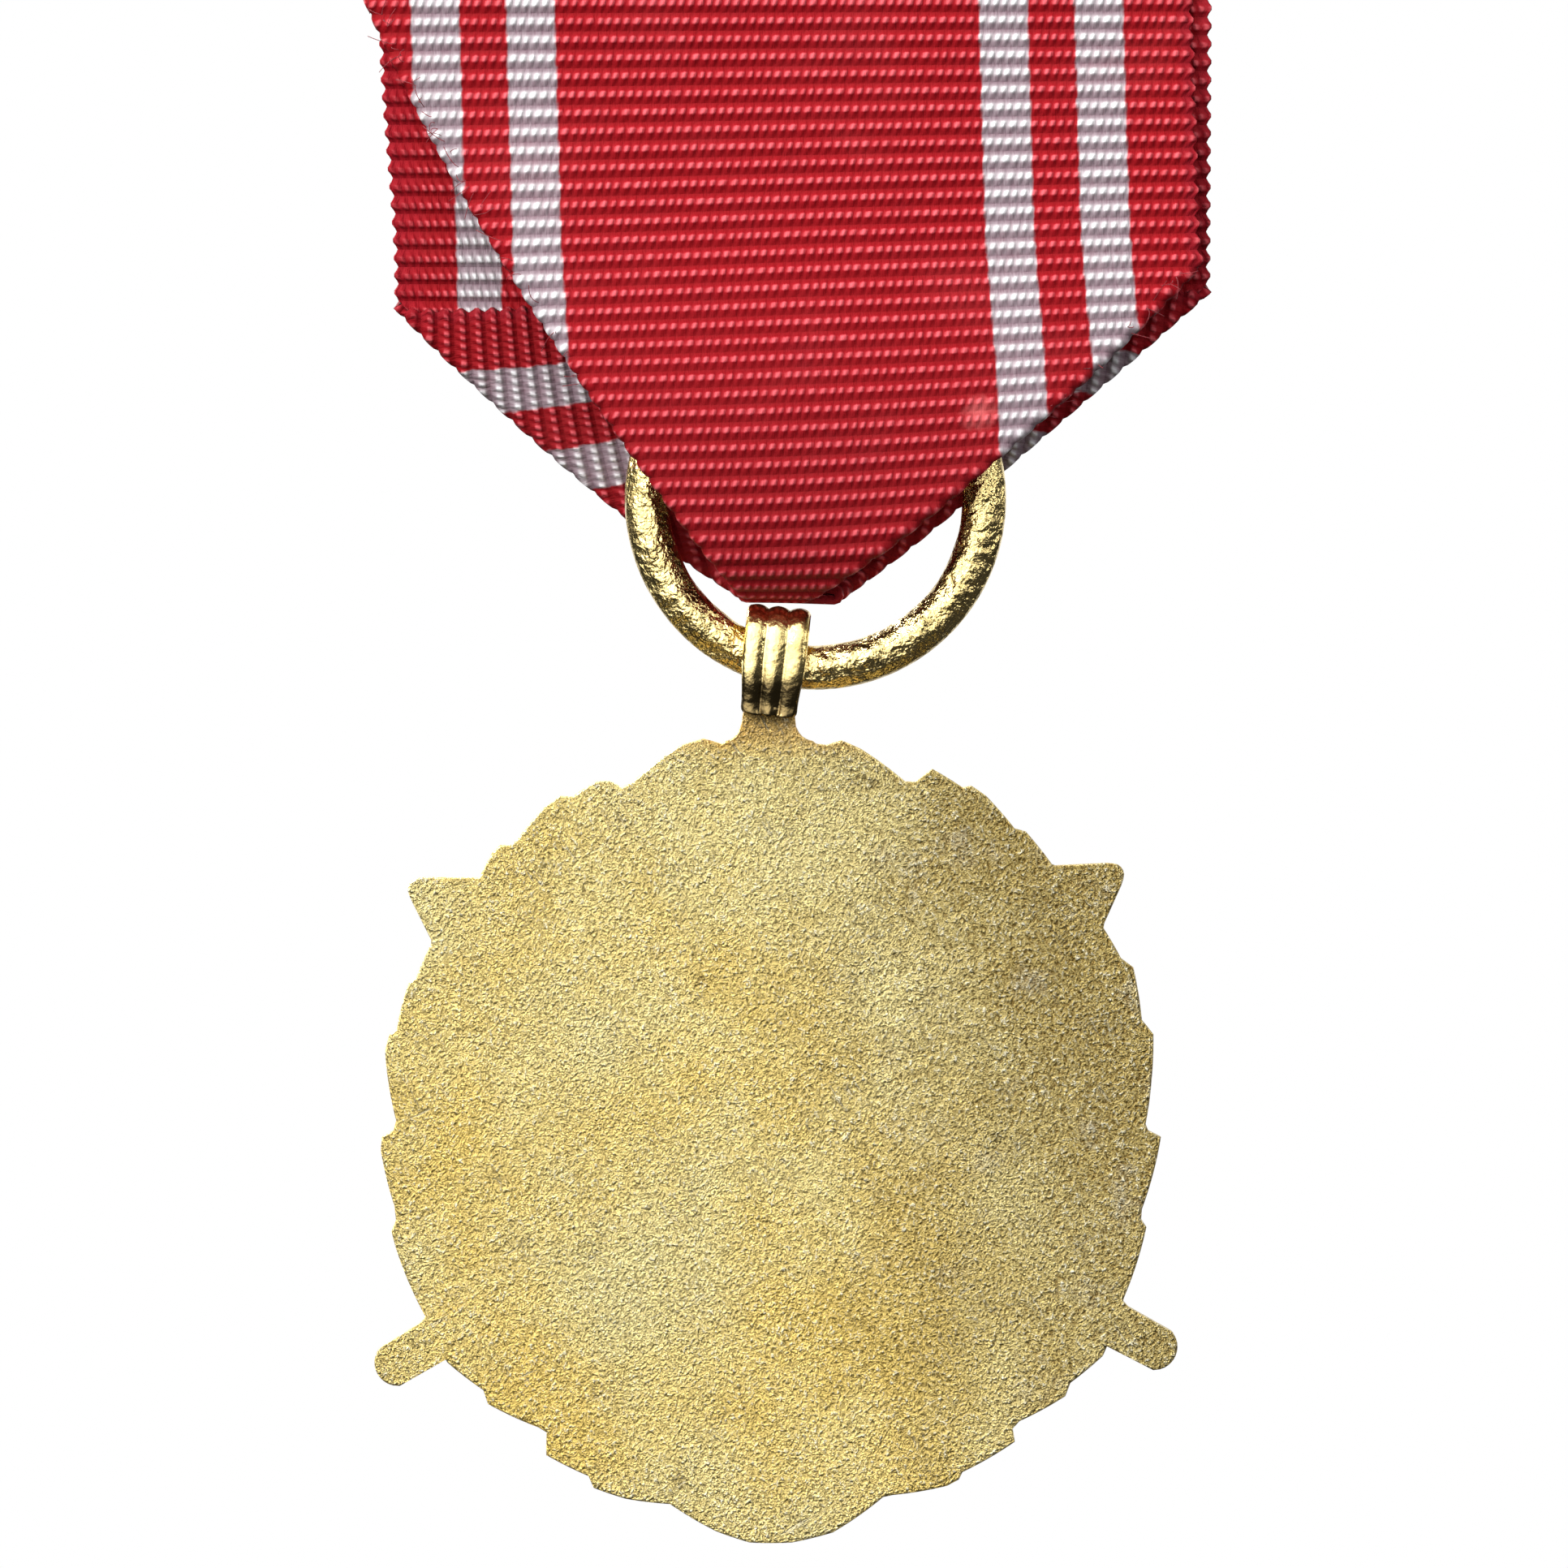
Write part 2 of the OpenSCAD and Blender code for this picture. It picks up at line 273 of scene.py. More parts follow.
class Value:
    """A number that varies over a surface: a socket with arithmetic."""

    def __init__(self, kit: "Shader", socket: bpy.types.NodeSocket) -> None:
        """Keeps the shader it belongs to and its socket."""
        self.kit, self.socket = kit, socket

    def maths(self, operation: str, *others: "Value | float", first: bool = True) -> "Value":
        """One Math node; first says whether this value is its first operand."""
        values = [self, *others] if first else [*others, self]
        return self.kit.value("ShaderNodeMath", {"operation": operation}, dict(enumerate(values)))

    def __add__(self, other: "Value | float") -> "Value":
        """The sum."""
        return self.maths("ADD", other)

    __radd__ = __add__

    def __mul__(self, other: "Value | float") -> "Value":
        """The product."""
        return self.maths("MULTIPLY", other)

    __rmul__ = __mul__

    def __sub__(self, other: "Value | float") -> "Value":
        """The difference."""
        return self.maths("SUBTRACT", other)

    def __rsub__(self, other: float) -> "Value":
        """The difference the other way round."""
        return self.maths("SUBTRACT", other, first=False)

    def __truediv__(self, other: "Value | float") -> "Value":
        """The quotient."""
        return self.maths("DIVIDE", other)

    def __pow__(self, other: float) -> "Value":
        """The power."""
        return self.maths("POWER", other)

    def step(self, low: float, high: float) -> "Value":
        """0 up to low, 1 from high, soft between them."""
        return self.kit.value("ShaderNodeMapRange", {"interpolation_type": "SMOOTHSTEP"},
                              {"Value": self, "From Min": low, "From Max": high})

    def cosine(self) -> "Value":
        """The cosine."""
        return self.maths("COSINE")

    def fraction(self) -> "Value":
        """What is over the whole number."""
        return self.maths("FRACT")

    def size(self) -> "Value":
        """The value without its sign."""
        return self.maths("ABSOLUTE")


class Shader:
    """The nodes of one material, or of the world."""

    def __init__(self, name: str, owner: bpy.types.ID | None = None) -> None:
        """Starts a new material, or the owner that is given, with no nodes."""
        self.material = owner or bpy.data.materials.new(name)
        self.material.use_nodes = True
        self.tree = self.material.node_tree
        self.tree.nodes.clear()

    def node(self, kind: str, settings: dict | None = None, inputs: dict | None = None) -> bpy.types.Node:
        """Adds a node.

        Args:
            kind: The node's type.
            settings: Its settings, with a ramp's (place, colour) pairs under "stops".
            inputs: Its sockets' values or links, by name or number.

        Returns:
            The node.
        """
        made = self.tree.nodes.new(kind)
        for name, setting in (settings or {}).items():
            if name == "stops":
                ramp = made.color_ramp.elements
                while len(ramp) < len(setting):
                    ramp.new(0.5)
                for element, (place, colour) in zip(ramp, setting):
                    element.position, element.color = place, (*colour, 1)
            else:
                setattr(made, name, setting)
        for name, given in (inputs or {}).items():
            if isinstance(given, Value):
                self.tree.links.new(given.socket, made.inputs[name])
            else:
                made.inputs[name].default_value = given
        return made

    def value(self, kind: str, settings: dict | None = None, inputs: dict | None = None,
              out: int | str = 0) -> Value:
        """Adds a node and returns one of its outputs."""
        return Value(self, self.node(kind, settings, inputs).outputs[out])

    def place(self) -> Value:
        """The point's place in millimetres."""
        metres = self.value("ShaderNodeTexCoord", out="Object")
        return self.value("ShaderNodeVectorMath", {"operation": "SCALE"}, {0: metres, "Scale": 1 / MM})

    def axes(self, vector: Value) -> tuple[Value, Value, Value]:
        """A vector's three parts."""
        parts = self.node("ShaderNodeSeparateXYZ", inputs={0: vector})
        return tuple(Value(self, parts.outputs[i]) for i in range(3))

    def vector(self, x: Value | float, y: Value | float, z: Value | float = 0.0) -> Value:
        """A vector from three numbers."""
        return self.value("ShaderNodeCombineXYZ", inputs={0: x, 1: y, 2: z})

    def noise(self, at: Value, scale: float, detail: float = 2.0, rough: float = 0.5) -> Value:
        """Soft noise about 0 to 1, with scale cells per millimetre."""
        return self.value("ShaderNodeTexNoise", inputs={"Vector": at, "Scale": scale, "Detail": detail,
                                                         "Roughness": rough})

    def mix(self, amount: Value | float, a: "Value | tuple", b: "Value | tuple", blend: str = "MIX") -> Value:
        """A blend of two colours."""
        tone = [(*c, 1) if isinstance(c, tuple) else c for c in (a, b)]
        return self.value("ShaderNodeMix", {"data_type": "RGBA", "blend_type": blend},
                          {0: amount, 6: tone[0], 7: tone[1]}, out=2)

    def bump(self, height: Value, distance: float, strength: float = 1.0, over: Value | None = None) -> Value:
        """A normal from a height of 0 to 1, where distance is that height in millimetres."""
        inputs = {"Height": height, "Distance": distance * MM, "Strength": strength}
        if over is not None:
            inputs["Normal"] = over
        return self.value("ShaderNodeBump", inputs=inputs)

    def surface(self, constants: dict, varying: dict) -> bpy.types.Material:
        """Ends the material in one Principled surface."""
        shader = self.value("ShaderNodeBsdfPrincipled", inputs={**constants, **varying})
        self.node("ShaderNodeOutputMaterial", inputs={"Surface": shader})
        return self.material


# ---------------------------------------------------------------- finishes


@dataclass(frozen=True)
class RibbonCloth:
    """Ribbed silk ribbon, red with two pairs of white stripes."""

    # Each colour has three tones: painted shade in the valleys between ribs (partly the threads' own deeper
    # tone), the mid tone, and a painted highlight on each rib's crest.
    red_valley_shade: tuple = (0.22, 0.0, 0.003)
    red: tuple = (0.32, 0.0025, 0.0085)
    red_crest_highlight: tuple = (0.70, 0.10, 0.12)
    white_valley_shade: tuple = (0.20, 0.13, 0.155)
    white: tuple = (0.45, 0.39, 0.415)
    white_crest_highlight: tuple = (0.84, 0.84, 0.85)
    worn: tuple = (0.62, 0.10, 0.11)
    # Painted shade, multiplied in towards the tip.
    shaded: tuple = (0.66, 0.62, 0.64)
    soiled: tuple = (0.14, 0.008, 0.014)
    rubbed: tuple = (0.90, 0.22, 0.22)
    frayed: tuple = (0.20, 0.004, 0.012)
    flattened: tuple = (0.28, 0.003, 0.010)
    rubbed_at: tuple = (-8.2, 164.6)
    stripe_edges: tuple = (9.0, 11.05, 13.05, 15.1)
    stripe_soft: float = 0.07
    bead: float = 0.406

    def make(self) -> bpy.types.Material:
        """The cloth's material, which follows the numbers across and along the cloth in millimetres."""
        kit = Shader("ribbed_silk")
        across = kit.value("ShaderNodeAttribute", {"attribute_name": "across_mm"}, out="Fac")
        along = kit.value("ShaderNodeAttribute", {"attribute_name": "along_mm"}, out="Fac")
        flat = kit.vector(across, along)
        uneven = kit.noise(flat, 2.3, 2.0)
        beads, hill, crest, number = self.weave(kit, across, along)
        raised = (beads * 0.7 + 0.3) * hill
        fine = kit.noise(kit.vector(across * 3.0, along * 0.5), 3.0, 3.0, 0.65)
        glint = kit.noise(kit.vector(across, number * 5.3), 1.7, 2.0)
        dash = (beads * 0.65 + 0.35) * crest * (glint * 0.9 + 0.5)
        # Painted light and shade: a painted highlight on each rib's upper crest (dash, glint) and lighter rib
        # tops (hill), mixed with the fine threads' own tone.
        shade = dash * 0.85 + (fine - 0.42) * 0.5 + hill * 0.16
        white = self.stripes(across.size() + (uneven - 0.5) * 0.16 + (beads - 0.5) * 0.05)
        red_tone = self.three(kit, shade, self.red_valley_shade, self.red, self.red_crest_highlight)
        white_tone = self.three(kit, shade, self.white_valley_shade, self.white, self.white_crest_highlight)
        tone = self.wear_and_shade(kit, kit.mix(white, red_tone, white_tone), across, along, uneven)
        lift = kit.bump(raised * 0.6 + dash * 0.4 + fine * 0.4, 0.17, 0.9)
        return kit.surface({"Metallic": 0.0, "Specular IOR Level": 0.16, "Sheen Weight": 0.02,
                            "Sheen Roughness": 0.4, "Sheen Tint": (1, 0.6, 0.6, 1)},
                           {"Base Color": tone, "Roughness": 0.74 - dash * 0.25, "Normal": lift})

    def weave(self, kit: Shader, across: Value, along: Value) -> tuple[Value, Value, Value, Value]:
        """The ribs and the threads over them.

        With f the place within a rib, a rib's hill is 1 - |2f - 1|^2.2, and its crest is a narrower band a
        little past its middle. The beads are (1 + cos) / 2 of the place across, half a bead on at each rib.

        Args:
            kit: The material's nodes.
            across: The place across the cloth in millimetres.
            along: The place along it in millimetres.

        Returns:
            The beads, the hill and the crest, each from 0 to 1, and the rib's number.
        """
        rows = along / RIB
        row = rows.fraction()
        number = rows.maths("FLOOR")
        hill = 1 - (row * 2 - 1).size() ** 2.2
        waver = kit.noise(kit.vector(across * 0.6, number * 3.7), 1.1, 1.0)
        thread = across / self.bead + number * 0.5 + (row - 0.5) * 0.55 + waver * 0.9
        beads = (thread * TWO_PI).cosine() * 0.5 + 0.5
        crest = 1 - ((row - 0.56).size() * (2 / 0.62)).step(0.25, 1.0)
        return beads, hill, crest, number

    def stripes(self, edge: Value) -> Value:
        """1 on the white stripes, whose edges are at the four distances from the cloth's middle."""
        first, first_end, last, last_end = (edge.step(at - self.stripe_soft, at + self.stripe_soft)
                                            for at in self.stripe_edges)
        return first - first_end + last - last_end

    def wear_and_shade(self, kit: Shader, tone: Value, across: Value, along: Value, uneven: Value) -> Value:
        """The colour with its wear and painted shade: patches, painted shade towards the tip, soil, one rubbed
        spot and worn selvages.
        """
        flat = kit.vector(across, along)
        tip_at = TIP_RIB * RIB
        patches = kit.noise(flat, 0.16, 3.0, 0.6)
        tone = kit.mix(patches.step(0.50, 0.85) * 0.10, tone, self.worn)
        # Painted shade: the cloth darker towards the tip.
        tip = (along - tip_at).size().step(19.0, 1.5)
        tone = kit.mix(tip * 0.75, tone, self.shaded, blend="MULTIPLY")
        soil = kit.noise(flat, 0.45, 4.0, 0.6)
        tone = kit.mix(soil.step(0.52, 0.8) * 0.18, tone, self.soiled)
        spot_across, spot_along = self.rubbed_at
        spot = (((across - spot_across) ** 2 + (along - spot_along) ** 2) ** 0.5 + uneven).step(1.5, 0.5)
        tone = kit.mix(spot * 0.35, tone, self.rubbed)
        fuzzy = (across.size() + uneven * 0.5).step(17.5, 18.05)
        tone = kit.mix(fuzzy * 0.5, tone, self.frayed)
        selvage = (across + uneven * 0.4).step(16.7, 17.2) * along.step(tip_at - 12, tip_at - 14)
        return kit.mix(selvage * 0.6, tone, self.flattened)

    def three(self, kit: Shader, at: Value, low: tuple, middle: tuple, high: tuple) -> Value:
        """A blend through three colours."""
        return kit.value("ShaderNodeValToRGB", {"stops": [(0.0, low), (0.5, middle), (1.0, high)]},
                         {0: at}, out="Color")


@dataclass(frozen=True)
class CastGilt:
    """Gilding over cast brass: sandy, warm on one side, tarnished and darker with painted shade on the other,
    with painted shade and highlights in its grain.
    """

    pale: tuple = (1.0, 0.85, 0.38)
    warm: tuple = (0.98, 0.68, 0.15)
    # Olive: partly real tarnishing, partly painted shade on the side away from the light.
    olive_tarnish_and_shade: tuple = (0.48, 0.36, 0.12)
    grey: tuple = (0.55, 0.53, 0.47)
    # Painted shade for the grain's hollows.
    dark: tuple = (0.20, 0.12, 0.025)
    # Painted highlight for the grain's peaks.
    grain_highlight: tuple = (1.0, 0.97, 0.78)
    # Painted shade with a warm tint, for the disc's top and tab under the loop.
    shade_under_loop: tuple = (0.62, 0.36, 0.10)
    pitted: tuple = (0.08, 0.055, 0.025)
    scratched: tuple = (1.0, 0.92, 0.66)
    middle: tuple = (1.06, -68.3)

    def make(self) -> bpy.types.Material:
        """The medal's material."""
        kit = Shader("cast_gilt")
        at = kit.place()
        x, y, z = kit.axes(at)
        x, z = x - self.middle[0], z - self.middle[1]
        grain = kit.noise(kit.vector(x * 1.15 + z * 0.4, y, z * 0.85 - x * 0.3), 5.0, 2.0, 0.6)
        sand = kit.noise(at, 9.0, 2.0, 0.7)
        broad = kit.noise(at, 0.11, 4.0, 0.6)
        patch = kit.noise(at, 0.33, 5.0, 0.66)
        tone = kit.mix((broad + x * 0.006 - z * 0.004).step(0.34, 0.76) * 0.8, self.pale, self.warm)
        # Painted shade, partly real tarnishing: olive and darker towards -X, the side away from the light,
        # with broad noise.
        tarnish_and_shade = (x * -0.045 + z * 0.012 + broad * 0.9 - 0.45).step(0.0, 0.75)
        tone = kit.mix(tarnish_and_shade * 0.9, tone, self.olive_tarnish_and_shade)
        tone = kit.mix(patch.step(0.54, 0.74) * (tarnish_and_shade * 0.45 + 0.05), tone, self.grey)
        relief = grain * 0.5 + sand * 0.5
        # Painted shade in the grain's hollows, stronger on the shaded side, then a painted highlight on its
        # peaks.
        tone = kit.mix(relief.step(0.52, 0.36) * (tarnish_and_shade * 0.45 + 0.48), tone, self.dark)
        tone = kit.mix(relief.step(0.54, 0.66) * 0.75, tone, self.grain_highlight)
        # Painted shade: darker and more orange over the disc's top and tab, under the loop.
        tone = kit.mix(z.step(16.2, 18.0) * 0.65, tone, self.shade_under_loop)
        pits = kit.value("ShaderNodeTexVoronoi", inputs={"Vector": at, "Scale": 0.22, "Randomness": 1.0},
                         out="Distance")
        spots = (pits + (grain - 0.5) * 0.22).step(0.06, 0.02)
        tone = kit.mix(spots * 0.5, tone, self.pitted)
        scratch = self.scratches(kit, x, z)
        tone = kit.mix(scratch * 0.5, tone, self.scratched)
        lift = kit.bump(grain * 0.8 + sand * 0.6 - spots * 0.5 - scratch * 0.2, 0.34, 1.0)
        rough = 0.26 + sand * 0.16 + spots * 0.2
        return kit.surface({"Metallic": 1.0, "Specular IOR Level": 0.5},
                           {"Base Color": tone, "Roughness": rough, "Normal": lift})

    def scratches(self, kit: Shader, x: Value, z: Value) -> Value:
        """Fine hair scratches: thin ridges of noise stretched along two slants."""
        first = kit.noise(kit.vector(x * 0.35 + z * 0.55, x * 4.2 - z * 2.6), 0.5, 1.0)
        second = kit.noise(kit.vector(x * 0.5 - z * 0.3, x * 2.4 + z * 4.4), 0.42, 1.0)
        lines = 1 - ((first - 0.5).size().step(0.0, 0.008) * (second - 0.5).size().step(0.0, 0.006))
        rare = kit.noise(kit.vector(x, z), 0.35, 1.0).step(0.52, 0.62)
        return lines * rare


@dataclass(frozen=True)
class BrightGilt:
    """Worn bright gilding on the ring and the loop."""

    name: str = "bright_gilt"
    rough: float = 1.0
    worn: float = 0.5
    # Height below which the colour is darkened as painted shade.
    shade_below_z: float = -999.0
    bright: tuple = (0.97, 0.75, 0.31)
    dull: tuple = (0.62, 0.44, 0.16)
    sunken: tuple = (0.10, 0.07, 0.03)
    # Colour of the painted shade low on the loop.
    low_shade: tuple = (0.10, 0.065, 0.03)

    def make(self) -> bpy.types.Material:
        """The material, with painted shade on the parts below a given height."""
        kit = Shader(self.name)
        at = kit.place()
        height = kit.axes(at)[2]
        broad = kit.noise(at, 0.5, 4.0, 0.6)
        grain = kit.noise(at, 4.2, 3.0, 0.6)
        dents = kit.noise(at, 1.5, 3.0, 0.55)
        tone = kit.mix(broad.step(0.45, 0.70) * 0.6, self.bright, self.dull)
        tone = kit.mix((grain * 0.6 + dents * 0.4).step(0.52, 0.66) * self.worn, tone, self.sunken)
        # Painted shade: darker and browner below that height, on the loop's legs by the tab.
        low_shade_mask = (height + broad * 0.8).step(self.shade_below_z + 0.9, self.shade_below_z)
        tone = kit.mix(low_shade_mask * 0.85, tone, self.low_shade)
        lift = kit.bump(dents, 0.30 * self.rough, 1.0)
        lift = kit.bump(grain, 0.06 * self.rough, 1.0, over=lift)
        return kit.surface({"Metallic": 1.0}, {"Base Color": tone, "Roughness": 0.12 + broad * 0.18,
                                               "Normal": lift})


@dataclass(frozen=True)
class Nickel:
    """Brushed nickel on steel, for the brooch."""

    light: tuple = (0.72, 0.70, 0.66)
    dark: tuple = (0.40, 0.385, 0.36)
    speck: tuple = (0.16, 0.10, 0.06)

    def make(self) -> bpy.types.Material:
        """The material, brushed along X."""
        kit = Shader("brushed_nickel")
        at = kit.place()
        x, y, z = kit.axes(at)
        brush = kit.noise(kit.vector(x * 0.35, y * 9, z * 9), 1.0, 3.0, 0.6)
        broad = kit.noise(at, 0.35, 4.0, 0.6)
        tone = kit.mix(broad.step(0.4, 0.75) * 0.6 + brush * 0.25, self.light, self.dark)
        specks = kit.noise(at, 2.4, 3.0).step(0.68, 0.76)
        tone = kit.mix(specks * 0.5, tone, self.speck)
        lift = kit.bump(brush, 0.02, 0.6)
        return kit.surface({"Metallic": 1.0}, {"Base Color": tone, "Roughness": 0.28 + brush * 0.16,
                                               "Normal": lift})


@dataclass(frozen=True)
class SewingThread:
    """Dark red sewing thread."""

    dark: tuple = (0.10, 0.006, 0.010)
    light: tuple = (0.34, 0.030, 0.040)

    def make(self) -> bpy.types.Material:
        """The material."""
        kit = Shader("sewing_thread")
        at = kit.place()
        fibre = kit.noise(at, 9.0, 3.0, 0.7)
        lift = kit.bump(fibre, 0.04, 0.8)
        return kit.surface({"Metallic": 0.0, "Sheen Weight": 0.15, "Specular IOR Level": 0.3},
                           {"Base Color": kit.mix(fibre.step(0.3, 0.7), self.dark, self.light),
                            "Roughness": 0.8 - fibre * 0.15, "Normal": lift})


# ---------------------------------------------------------------- ribbon


@dataclass
class Fold:
    """A crease over which one side of a leaf turns in: its line, its side, the turned strip's width."""

    line: np.ndarray
    outward: int
    deepest: float
    roll: float = 0.215

    def bend(self, x: np.ndarray, s: np.ndarray) -> tuple[np.ndarray, np.ndarray, np.ndarray, np.ndarray]:
        """Rolls the cloth over the crease.

        With d the distance past the line and r the roll's radius, the cloth goes straight for d < 0, lies on
        a half circle r sin(d / r), r (1 - cos(d / r)) up to d = pi r, and comes back at 2r below that.

        Args:
            x: Places across the leaf.
            s: Places along the leaf.

        Returns:
            The new x and s, the depth below the leaf, and the distance d.
        """
        from_line = np.stack([x[..., None] - self.line[:, 0], s[..., None] - self.line[:, 1]], -1)
        near = np.argmin((from_line**2).sum(-1), -1)
        tangent = unit(np.gradient(self.line, axis=0))
        normal = np.stack([np.abs(tangent[:, 1]) * self.outward, -np.abs(tangent[:, 0])
                           * np.sign(self.line[-1, 1] - self.line[0, 1])], -1)
        foot, n = self.line[near], normal[near]
        d = (x - foot[..., 0]) * n[..., 0] + (s - foot[..., 1]) * n[..., 1]
        r = self.roll
        turn = np.clip(d / r, 0, math.pi)
        into = np.where(d < 0, d, r * np.sin(turn) - np.maximum(d - math.pi * r, 0))
        return x + (into - d) * n[..., 0], s + (into - d) * n[..., 1], r * (1 - np.cos(turn)), d

    def crossing(self, s: np.ndarray) -> np.ndarray:
        """Where the line crosses each place along the leaf."""
        order = np.argsort(self.line[:, 1])
        return np.interp(s, self.line[order, 1], self.line[order, 0])


@dataclass(frozen=True)
class Profile:
    """The strip seen edge on: distances from the tip, points (y, z), inward directions, the front's top."""

    s: np.ndarray
    yz: np.ndarray
    inward: np.ndarray
    front_top: float

    def height(self, s: np.ndarray) -> np.ndarray:
        """How high each place along the strip is."""
        return np.interp(s, self.s, self.yz[:, 1])

    def along(self, z: np.ndarray, back: bool) -> np.ndarray:
        """How far along the strip each height is, on the back or the front leaf."""
        part = (self.s >= 0) if back else (self.s <= 0) & (self.s > self.front_top)
        order = np.argsort(self.yz[part, 1])
        return np.interp(z, self.yz[part, 1][order], self.s[part][order])


def spread(start: np.ndarray, end: np.ndarray, count: int, closed: bool = False) -> np.ndarray:
    """Evenly spaced columns from start to end in each row, without the last one unless closed."""
    return start[:, None] + (end - start)[:, None] * np.linspace(0, 1, count, endpoint=closed)[None, :]


@dataclass
class Ribbon:
    """One length of ribbed cloth: front leaf, tip, back leaf, and a hem at the top."""

    width: float = 36.0
    cloth: float = 0.4
    per_rib: int = 5
    hem: float = 8.7
    tip_x: float = 0.6
    tip_round: float = 2.5
    groove: float = 0.095  # half the cloth's thickness between its ribs, and what a rib adds
    rise: float = 0.105
    overlap: float = 0.3  # the depth from which a turned strip is left open at the tip
    back_reach: float = 36.0  # how far up each leaf its corners can turn in
    front_reach: float = 22.0
    # Half the gap that the two leaves leave for the ring, as (height, gap).
    gaps: tuple = ((-29.9, 1.35), (-33.1, 1.75), (-37.5, 2.42))
    # How far the back leaf hangs askew, as (height, shift).
    askew: tuple = ((-45, 0.2), (-40, 0.3), (-35.3, 0.5), (-29.3, 0.95), (-18.7, 1.25), (-11, 0.95), (5, 0.0))

    def __post_init__(self) -> None:
        """Reads the ribbon's place from the frame."""
        low, high = box_mm("ribbon")
        ring_low, ring_high = box_mm("ring")
        self.ring_y = (ring_low[1] + ring_high[1]) / 2
        self.top, self.tip = high[2], low[2]
        self.back_y = box_mm("brooch_plate")[0][1] - self.cloth / 2
        self.bulge = self.ring_y - low[1] - self.cloth / 2
        self.profile = self.edge_on()

    def edge_on(self) -> Profile:
        """The profile: a curve of (y, z) from the hem, down the front, round the tip and up the back."""
        half = self.cloth / 2
        front_top, hem_y = self.back_y - 2 * self.cloth, self.back_y - self.cloth
        crest = self.top - half
        a = np.linspace(0, math.pi, 25)[:, None]
        over = np.hstack([(front_top + hem_y) / 2 + np.cos(a) * half, crest - half + np.sin(a) * half])
        hem = np.stack([np.full(6, hem_y), np.linspace(crest - half - self.hem, crest - half - 0.4, 6)], -1)
        down = ([(front_top, z) for z in (crest - half - 0.5, 0, -4)]
                + [(self.ring_y - gap, z) for z, gap in self.gaps])
        t = np.linspace(-math.pi / 2, math.pi / 2, 31)[:, None]
        bottom = np.hstack([self.ring_y + self.bulge * np.sin(t),
                            self.tip + half + self.tip_round * (1 - np.cos(t))])
        up = ([(self.ring_y + gap, z) for z, gap in self.gaps[::-1]]
              + [(self.back_y, z) for z in (-4, 0, crest - half)])
        curve = spline(np.concatenate([hem, over, down, bottom, up]), 5000)
        length = lengths(curve)
        s = length - length[np.argmin(curve[:, 1])]
        slope = unit(np.gradient(curve, s, axis=0))
        inward = np.stack([-slope[:, 1], slope[:, 0]], -1)
        return Profile(s, curve, inward, s[np.argmax(np.where(s < 0, curve[:, 1], -99))])

    def crease(self, outward: int, back: bool, deepest: float, *corners: tuple) -> Fold:
        """A crease from the tip upwards, with its corners as (x from the tip, z from the tip)."""
        line = bezier(*(np.array(corner) + (self.tip_x, self.tip) for corner in corners))
        line[:, 1] = self.profile.along(line[:, 1], back)
        return Fold(line, outward, deepest)

    def creases(self) -> dict[bool, tuple[Fold, Fold]]:
        """The two creases of the back leaf (True) and of the front leaf (False)."""
        return {
            True: (self.crease(1, True, 6.0, (1.3, 0), (15.1, 18.1), (19.1, 29.7)),
                   self.crease(-1, True, 7.0, (-1.5, 0.5), (-9.8, 6.3), (-17.9, 14.9))),
            False: (self.crease(1, False, 99.0, (1.2, 0), (11.0, 7.2), (17.4, 14.1)),
                    self.crease(-1, False, 7.0, (-2.0, 0), (-10.4, 6.8), (-18.8, 14.3)))}

    def build(self) -> bpy.types.Object:
        """The ribbon's mesh, with ribs, rolled creases and tucked corners.

        Columns crowd round each row's two creases. A point goes to its leaf's plane, is bent over the two
        creases, and is then put on the edge-on curve at that distance, moved inwards by its depth.
        """
        step = RIB / self.per_rib
        ends = self.profile.s[[0, -1]] / step
        k = np.arange(math.ceil(ends[0]), math.floor(ends[1]) + 1)
        s = k * step
        folds = self.creases()
        shift, stretch = self.set_of_leaf(s)
        u = self.columns(s, folds, shift, stretch)
        x, run = self.laid_out(u, s, shift, stretch)
        x, run, depth, dropped = self.tucked(x, run, s, folds)
        keep = ~(dropped[:-1, :-1] | dropped[1:, 1:] | dropped[:-1, 1:] | dropped[1:, :-1])
        tip_row = np.searchsorted(s, 1e-6) - 1
        turned = depth > self.overlap
        keep[tip_row] &= ~(turned[tip_row, :-1] | turned[tip_row, 1:]
                           | turned[tip_row + 1, :-1] | turned[tip_row + 1, 1:])
        outer, inner = self.two_faces(x, run, depth, k)
        points, faces, of = slab(outer, inner, keep)
        made = make_piece("ribbon_cloth", points, faces)
        along = np.broadcast_to(s[:, None], u.shape) + TIP_RIB * RIB
        set_number(made, "across_mm", u.ravel()[of])
        set_number(made, "along_mm", along.ravel()[of])
        return made

